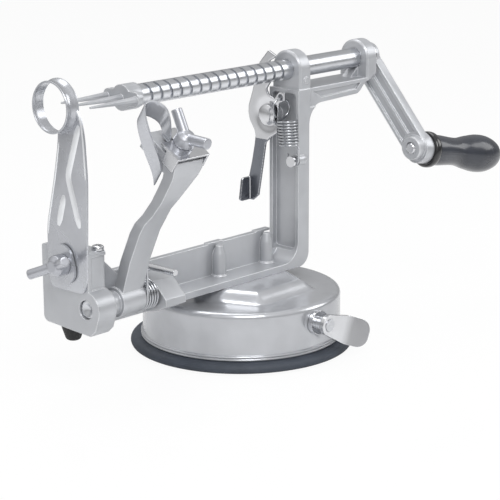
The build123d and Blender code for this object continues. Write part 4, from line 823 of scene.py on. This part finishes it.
class PEELER_OT_feed_screw(bpy.types.Operator):
    """Makes the feed screw with its helical groove, tang and square"""
    bl_idname = "peeler.feed_screw"
    bl_label = "Feed screw"

    def execute(self, context):
        sizes = context.scene.peeler_sizes
        carrier = bpy.data.objects.new("bar_carrier", bpy.data.meshes.new("bar_carrier"))
        bar = run_tree(groove_tree(), carrier, {
            "Radius": shaft_radius * MM, "Pitch": thread_pitch * MM, "Groove width": sizes.groove_width,
            "Groove depth": sizes.groove_depth, "Groove start": (thread_start_x - thread_run_in) * MM,
            "Groove end": thread_end_x * MM, "Bar start": shaft_front_x * MM, "Bar end": bar_end_x * MM,
            "First turn": float(first_turn), "Axis height": axis_z * MM,
            "Rows": (last_turn - first_turn) * rows_per_turn + 1, "Rows per turn": rows_per_turn,
            "Columns": bar_columns, "Finish": ground_steel()})
        bm = bmesh.new()
        bm.from_mesh(bar)
        cut = shaft_chamfer
        tang = ((tang_x, 0), (tang_x, tang_radius - cut), (tang_x + cut, tang_radius),
                (shaft_front_x, tang_radius), (shaft_front_x, shaft_radius))
        plain = ((bar_end_x, shaft_radius), (shaft_middle_x, shaft_radius),
                 (shaft_back_x - cut, shaft_radius), (shaft_back_x, shaft_radius - cut), (shaft_back_x, 0))
        stud = ((shaft_back_x, 0), (shaft_back_x, stud_radius), (stud_end_x - cut, stud_radius),
                (stud_end_x, stud_radius - cut), (stud_end_x, 0))
        for profile, segments in ((tang, bar_columns), (plain, bar_columns), (stud, 48)):
            lathe(bm, profile, shaft_line, backwards, segments)
        corners = [(-square_half, -square_half), (square_half, -square_half), (square_half, square_half),
                   (-square_half, square_half)]
        near, far = ([bm.verts.new((shaft_line + Vector((x, y, z))) * MM) for y, z in corners]
                     for x in (square_start_x, square_end_x))
        bm.faces.new(near[::-1])
        bm.faces.new(far)
        for i in range(4):
            bm.faces.new((near[i], near[(i + 1) % 4], far[(i + 1) % 4], far[i]))
        settle("feed_screw_finished", made(bm, "feed_screw"), "shaft", ground_steel(), ("feed_screw",),
               machined_sharp)
        return {"FINISHED"}


def handle_line():
    """Start and direction of the grip's axis."""
    down = Vector((0, -sin(crank_angle), -cos(crank_angle)))
    boss = shaft_line + down * crank_length
    return Vector((crank_x, boss.y, boss.z)), (backwards * cos(splay) + down * sin(splay)).normalized()


class PEELER_OT_handle(bpy.types.Operator):
    """Makes the grip and its collar"""
    bl_idname = "peeler.handle"
    bl_label = "Crank handle"

    def execute(self, context):
        origin, way = handle_line()
        side = way.cross(up).normalized()
        # Moulded polypropylene of the grip: satin dark grey with a fine parting line
        plastic = polymer("moulded grip polypropylene", "grip", roughness=0.24, grain_mm=2.0, depth_mm=0.008,
                          coat=0.3, seam=(origin * MM, side.cross(way)))
        crown = smooth_line([(grip_start + along * grip_length, out * grip_radius)
                             for along, out in grip_shares], 8)
        bore_end = grip_start + grip_length * grip_bore_share
        outline = [(bore_end, 0), (bore_end, bolt_clear), (grip_start, bolt_clear),
                   (grip_start, grip_radius * grip_mouth_share)] + [(p.x, max(p.y, 0)) for p in crown[1:]]
        settle("grip_finished", turned("grip", outline, origin, way, segments=128), "grip", plastic,
               ("handle_grip",), moulded_sharp)
        # Polished ABS of the collar: deep black with sharp highlights
        gloss = polymer("polished black ABS", "collar", roughness=0.14, grain_mm=3.0, depth_mm=0.01, coat=0.6)
        collar_end = collar_start + collar_length
        ring = ((collar_start, bolt_clear), (collar_start, collar_radius), (collar_end, collar_radius),
                (collar_end, bolt_clear))
        profile = soften(ring, collar_length * collar_round_share, 6)
        collar = turned("collar", profile, origin, way, segments=128, closed=True)
        settle("collar_finished", collar, "shaft", gloss, ("handle_collar",), moulded_sharp)
        return {"FINISHED"}


class PEELER_OT_release(bpy.types.Operator):
    """Finishes the release lever"""
    bl_idname = "peeler.release"
    bl_label = "Release lever"

    def execute(self, context):
        mesh = melted("release_lever", release_skin, release_rounds)
        shade_below_z = release_shade_below_z * MM
        front = min(vertex.co.x for vertex in mesh.vertices if vertex.co.z > shade_below_z) + dish_band * MM
        for vertex in mesh.vertices:
            out = (Vector((vertex.co.y, vertex.co.z)) / MM - release_pivot).length
            if vertex.co.x < front:
                vertex.co.x += dish_depth * MM * exp(-((out - dish_radius) / dish_width) ** 2)
        # Faces of the foot that face outwards, below a set height, take the nickel darkened as painted shade
        for face in mesh.polygons:
            outer = min(face.normal.x, face.normal.y) < release_shade_facing
            face.material_index = 1 if outer and face.center.z < shade_below_z else 0
        settle("release_lever_finished", mesh, "release", bright_nickel(), ("release_lever",),
               flowed_sharp, painted_shade_nickel())
        return {"FINISHED"}


def wire_tree():
    """Tree that lays round wire along a path."""
    tree = bpy.data.node_groups.new("Wound wire", "GeometryNodeTree")
    interface(tree, ("Path",), "NodeSocketGeometry")
    interface(tree, ("Wire radius",), "NodeSocketFloat")
    interface(tree, ("Sides",), "NodeSocketInt")
    interface(tree, ("Finish",), "NodeSocketMaterial")
    interface(tree, ("Wire",), "NodeSocketGeometry", "OUTPUT")
    given = add(tree, "NodeGroupInput").outputs
    circle = add(tree, "GeometryNodeCurvePrimitiveCircle", {
        "Resolution": given["Sides"], "Radius": given["Wire radius"]})
    tube = add(tree, "GeometryNodeCurveToMesh", {
        "Fill Caps": True, "Curve": given["Path"], "Profile Curve": circle.outputs["Curve"]})
    return coated(tree, tube.outputs[0], given["Finish"], "Wire")


def coil(centre, axis, side, radius, pitch, half_turns, hand, per_turn=40):
    """Points of a coil, right handed or left handed, and the directions at its ends."""
    across = axis.cross(side) * hand
    rise = pitch / (2 * pi)
    count = int(half_turns * per_turn / 2)
    points, ways = [], []
    for i in range(count + 1):
        angle = pi * half_turns * i / count
        points.append(centre + (side * cos(angle) + across * sin(angle)) * radius + axis * (rise * angle))
        ways.append(((across * cos(angle) - side * sin(angle)) * radius + axis * rise).normalized())
    return points, ways[0], ways[-1]


def arc(centre, right, radius, degrees, steps=28):
    """Points of an upright arc and the directions at its ends."""
    points, ways = [], []
    for i in range(steps + 1):
        angle = radians(degrees[0] + (degrees[1] - degrees[0]) * i / steps)
        points.append(centre + (right * cos(angle) + up * sin(angle)) * radius)
        ways.append(up * cos(angle) - right * sin(angle))
    return points, ways[0], ways[-1]


class PEELER_OT_springs(bpy.types.Operator):
    """Winds the release spring and the torsion spring"""
    bl_idname = "peeler.springs"
    bl_label = "Springs"

    def execute(self, context):
        sizes = context.scene.peeler_sizes
        tree = wire_tree()
        front = Vector((0, -1, 0))
        hook, _, hook_out = arc(release_hook_centre, front, release_hook_radius, release_hook_arc)
        length = release_pitch * release_half_turns / 2
        axis = Vector((0, release_top_y - release_low.y, length)).normalized()
        side = backwards.cross(axis)
        turns, first, last = coil(release_low, axis, side, release_coil_radius, release_pitch,
                                  release_half_turns, -1)
        right = Vector((cos(release_ring_turn), sin(release_ring_turn), 0))
        ring, ring_in, _ = arc(release_ring_centre, right, release_ring_radius, release_ring_arc)
        path = hook + bridge(hook[-1], hook_out, turns[0], first) + turns
        path += bridge(turns[-1], last, ring[0], ring_in) + ring
        self.wind(tree, "release_spring", path, sizes.release_wire, ("release", turns[0], turns[-1]))
        turns, _, _ = coil(torsion_start, backwards, front, torsion_radius, torsion_pitch,
                           torsion_half_turns, 1)
        knee = turns[0] + up * torsion_arm_leg
        tip = Vector((torsion_tip_x, knee.y, knee.z))
        corner = Vector((turns[-1].x, turns[-1].y, torsion_top_z))
        far = Vector((torsion_far_x, corner.y, torsion_top_z))
        arm_leg = soften([tip, knee, turns[0]], torsion_arm_bend, 8)
        pin_leg = soften([turns[-1], corner, far], torsion_pin_bend, 8)
        coil_end = torsion_start + backwards * (torsion_pitch * torsion_half_turns / 2)
        self.wind(tree, "torsion_spring", arm_leg[:-1] + turns + pin_leg[1:], sizes.torsion_wire,
                  ("arm", coil_end, torsion_start))
        return {"FINISHED"}

    def wind(self, tree, node, points, radius, stretch):
        curve = bpy.data.curves.new(node + "_path", "CURVE")
        curve.dimensions = "3D"
        spline = curve.splines.new("POLY")
        spline.points.add(len(points) - 1)
        for slot, point in zip(spline.points, points):
            slot.co = (*(point * MM), 1)
        carrier = bpy.data.objects.new(node + "_carrier", curve)
        mesh = run_tree(tree, carrier, {"Wire radius": radius, "Sides": wire_sides, "Finish": spring_wire()})
        settle(node + "_wound", mesh, "frame", spring_wire(), (node,), flowed_sharp,
               stretch=stretch)


def strip_places(shares):
    """Places on the slicing strip from its shares."""
    return [Vector((0, y * strip_height, strip_low_z + z * strip_height)) for y, z in shares]


def add_rib(bm, places, width, height, bend):
    """Adds a pressed rib with a round back and tapering ends to the strip's front, in the second finish,
    which is lightened as a painted highlight.
    """
    line = soften(places, bend, 6)
    dense = []
    for a, b in zip(line, line[1:]):
        count = max(1, int((b - a).length / rib_spacing))
        dense += [a.lerp(b, i / count) for i in range(count)]
    dense.append(line[-1])
    total = len(dense) - 1
    rows = []
    for i, point in enumerate(dense):
        run = (dense[min(i + 1, total)] - dense[max(i - 1, 0)]).normalized()
        side = Vector((0, -run.z, run.y))
        fullness = min(1.0, i / rib_taper, (total - i) / rib_taper) ** 0.5
        half = width / 2 * (rib_end_share + (1 - rib_end_share) * fullness)
        row = []
        for j in range(rib_strips + 1):
            t = 2 * j / rib_strips - 1
            lift = (height + rib_sink) * fullness * max(0.0, 1 - abs(t) ** 3) - rib_sink
            out = Vector((strip_face_x - strip_thickness - lift, 0, 0))
            row.append(bm.verts.new((point + side * (half * t) + out) * MM))
        rows.append(row)
    for low, high in zip(rows, rows[1:]):
        for j in range(rib_strips):
            bm.faces.new((low[j], low[j + 1], high[j + 1], high[j])).material_index = 1
        bm.faces.new((low[0], high[0], high[-1], low[-1]))
    for row in (rows[0], rows[-1]):
        bm.faces.new(row)


class PEELER_OT_slicer(bpy.types.Operator):
    """Makes the slicing strip with its coring ring, and finishes its clamp"""
    bl_idname = "peeler.slicer"
    bl_label = "Slicing strip"

    def execute(self, context):
        left = strip_places(strip_left_shares)
        right = strip_places(strip_right_shares)
        low = strip_places(strip_low_right_shares)
        bm = bmesh.new()
        bm.from_mesh(self.bored_plate(context, soften(left + right[::-1] + low, strip_corner, 5, True)))
        lathe(bm, ring_profile, Vector((ring_front_x, 0, ring_z)), backwards, segments=144, closed=True)
        for shares in (rib_long_shares, rib_short_shares):
            add_rib(bm, strip_places(shares), rib_width, rib_height, rib_bend)
        add_rib(bm, [p + rim_inset for p in smooth_line(right[:6], 4)], rim_width, rim_height, rim_right_bend)
        add_rib(bm, [p - rim_inset for p in left[2:]], rim_width, rim_height, rim_left_bend)
        # The ribs and rims take the second finish, lightened as a painted highlight
        settle("slicer_finished", made(bm, "slicer", 0.0002), "slicer", rolled_strip(), ("slicer_blade",),
               machined_sharp, highlighted_rib())
        dressed("clamp_plate", "frame", rolled_strip())
        fused("wing_screw", "wing")
        return {"FINISHED"}

    def bored_plate(self, context, outline):
        bm = bmesh.new()
        face = bm.faces.new([bm.verts.new((p + backwards * strip_face_x) * MM) for p in outline])
        grown = bmesh.ops.extrude_face_region(bm, geom=[face])
        moved = [v for v in grown["geom"] if isinstance(v, bmesh.types.BMVert)]
        bmesh.ops.translate(bm, verts=moved, vec=(-strip_thickness * MM, 0, 0))
        plate = bpy.data.objects.new("strip_carrier", made(bm, "strip_plate"))
        bore = ((-bore_half, 0), (-bore_half, ring_bore), (bore_half, ring_bore), (bore_half, 0))
        line = Vector((strip_face_x, 0, ring_z))
        tool = bpy.data.objects.new("bore_carrier", turned("bore", bore, line, backwards, segments=128))
        for thing in (plate, tool):
            context.scene.collection.objects.link(thing)
        cut = plate.modifiers.new("Bore", "BOOLEAN")
        cut.operation = "DIFFERENCE"
        cut.object = tool
        cut.solver = "EXACT"
        rim = plate.modifiers.new("Sheared edge", "BEVEL")
        rim.width = strip_edge * MM
        rim.segments = 2
        rim.limit_method = "ANGLE"
        rim.angle_limit = radians(50)
        mesh = evaluated(plate)
        for thing in (plate, tool):
            bpy.data.objects.remove(thing)
        return mesh


class PEELER_OT_peeling_head(bpy.types.Operator):
    """Finishes the peeling blade, its clip and its wing nut"""
    bl_idname = "peeler.peeling_head"
    bl_label = "Peeling head"

    def execute(self, context):
        dressed("peeling_blade", "arm", rolled_strip(), machined_sharp)
        dressed("blade_clip", "arm", bright_nickel(), machined_sharp)
        fused("blade_wing_nut", "arm")
        return {"FINISHED"}


class PEELER_OT_stage(bpy.types.Operator):
    """Sets the floor, the studio light and the camera"""
    bl_idname = "peeler.stage"
    bl_label = "Stage"

    def execute(self, context):
        scene = context.scene
        scene.view_settings.view_transform = "Standard"
        bpy.ops.mesh.primitive_plane_add(size=floor_size, location=(0, 0, 0))
        floor = context.object
        floor.name = "studio_floor"
        floor.data.materials.append(self.paper())
        self.world(scene)
        for lamp in lamps:
            self.lamp(scene, *lamp)
        camera = bpy.data.cameras.new("photo_camera")
        camera.lens = camera_lens
        camera.sensor_width = 36.0
        camera.sensor_fit = "HORIZONTAL"
        camera.clip_start = 0.01
        eye = bpy.data.objects.new("photo_camera", camera)
        scene.collection.objects.link(eye)
        turn = Matrix((camera_right, camera_up, -camera_ahead)).transposed().to_4x4()
        eye.matrix_world = Matrix.Translation(camera_place) @ turn
        scene.camera = eye
        return {"FINISHED"}

    def lamp(self, scene, name, place, target_z, width, power):
        light = bpy.data.lights.new(name, "AREA")
        light.shape = "SQUARE"
        light.size = width
        light.energy = power
        lamp = bpy.data.objects.new(name, light)
        scene.collection.objects.link(lamp)
        ahead = up * target_z - Vector(place)
        lamp.matrix_world = Matrix.Translation(place) @ ahead.to_track_quat("-Z", "Y").to_matrix().to_4x4()

    def paper(self):
        # White coated card: it shows white, keeps a soft shadow and mirrors the base faintly
        material, tree, shader = new_material("white coated card")
        shader.inputs["Base Color"].default_value = (*linear("#F2F2F2"), 1)
        shader.inputs["Roughness"].default_value = 0.12
        glow = add(tree, "ShaderNodeEmission", {"Color": (1, 1, 1, 1), "Strength": 1.0})
        seen = add(tree, "ShaderNodeLightPath").outputs["Is Camera Ray"]
        share = add(tree, "ShaderNodeMath", {"operation": "MULTIPLY", 0: seen, 1: 0.93})
        mix = add(tree, "ShaderNodeMixShader", {
            0: share.outputs[0], 1: shader.outputs[0], 2: glow.outputs[0]})
        tree.links.new(mix.outputs[0], tree.nodes["Material Output"].inputs["Surface"])
        return material

    def world(self, scene):
        # Pale studio room, brighter above and towards the front of the peeler, and white where it is seen
        world = bpy.data.worlds.new("studio")
        scene.world = world
        world.use_nodes = True
        tree = world.node_tree
        back = tree.nodes["Background"]
        way = add(tree, "ShaderNodeTexCoord").outputs["Generated"]
        parts = add(tree, "ShaderNodeSeparateXYZ", {0: way}).outputs
        rise = add(tree, "ShaderNodeMapRange", {
            "Value": parts["Z"], "From Min": -0.1, "From Max": 0.75, "To Min": 0.34,
            "To Max": 1.0}).outputs["Result"]
        sweep = add(tree, "ShaderNodeMapRange", {
            "Value": parts["X"], "From Min": -0.8, "From Max": 0.8, "To Min": 1.0,
            "To Max": 0.6}).outputs["Result"]
        level = add(tree, "ShaderNodeMath", {"operation": "MULTIPLY", 0: rise, 1: sweep}).outputs[0]
        seen = add(tree, "ShaderNodeLightPath").outputs["Is Camera Ray"]
        strength = add(tree, "ShaderNodeMath", {"operation": "MAXIMUM", 0: level, 1: seen}).outputs[0]
        tree.links.new(strength, back.inputs["Strength"])
        back.inputs["Color"].default_value = (1, 1, 1, 1)


class PEELER_PT_panel(bpy.types.Panel):
    """Lists the steps that dress the peeler"""
    bl_label = "Apple peeler"
    bl_idname = "PEELER_PT_panel"
    bl_space_type = "VIEW_3D"
    bl_region_type = "UI"
    bl_category = "Peeler"

    def draw(self, context):
        layout = self.layout
        for operator in operators:
            layout.operator(operator.bl_idname)
        for group in (context.scene.peeler_sizes, context.scene.peeler_colours):
            box = layout.box()
            for name in group.bl_rna.properties.keys():
                if name not in ("rna_type", "name"):
                    box.prop(group, name)


operators = (PEELER_OT_base, PEELER_OT_castings, PEELER_OT_feed_screw, PEELER_OT_handle, PEELER_OT_release,
             PEELER_OT_springs, PEELER_OT_slicer, PEELER_OT_peeling_head, PEELER_OT_stage)
classes = (PeelerColours, PeelerSizes) + operators + (PEELER_PT_panel,)


def register():
    """Registers the peeler's classes and settings."""
    for item in classes:
        bpy.utils.register_class(item)
    bpy.types.Scene.peeler_colours = bpy.props.PointerProperty(type=PeelerColours)
    bpy.types.Scene.peeler_sizes = bpy.props.PointerProperty(type=PeelerSizes)


def unregister():
    """Removes the peeler's classes and settings."""
    del bpy.types.Scene.peeler_sizes
    del bpy.types.Scene.peeler_colours
    for item in reversed(classes):
        bpy.utils.unregister_class(item)


def clear_start_scene():
    """Removes the lamp and camera that Blender starts with."""
    for thing in list(bpy.data.objects):
        if thing.type in ("LIGHT", "CAMERA") or thing.name == "Cube":
            bpy.data.objects.remove(thing)


def coat_hidden_nodes():
    """Gives the nodes that stay as they are their finishes."""
    bpy.context.view_layer.update()
    for name in ("cup_stem", "base_screws", "cam_pin"):
        node = frame["nodes"][name]
        node.data.materials.clear()
        node.data.materials.append(ground_steel())


def main():
    """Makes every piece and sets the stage."""
    register()
    clear_start_scene()
    bpy.ops.peeler.base()
    bpy.ops.peeler.castings()
    bpy.ops.peeler.feed_screw()
    bpy.ops.peeler.handle()
    bpy.ops.peeler.release()
    bpy.ops.peeler.springs()
    bpy.ops.peeler.slicer()
    bpy.ops.peeler.peeling_head()
    bpy.ops.peeler.stage()
    coat_hidden_nodes()


if __name__ == "__main__":
    main()
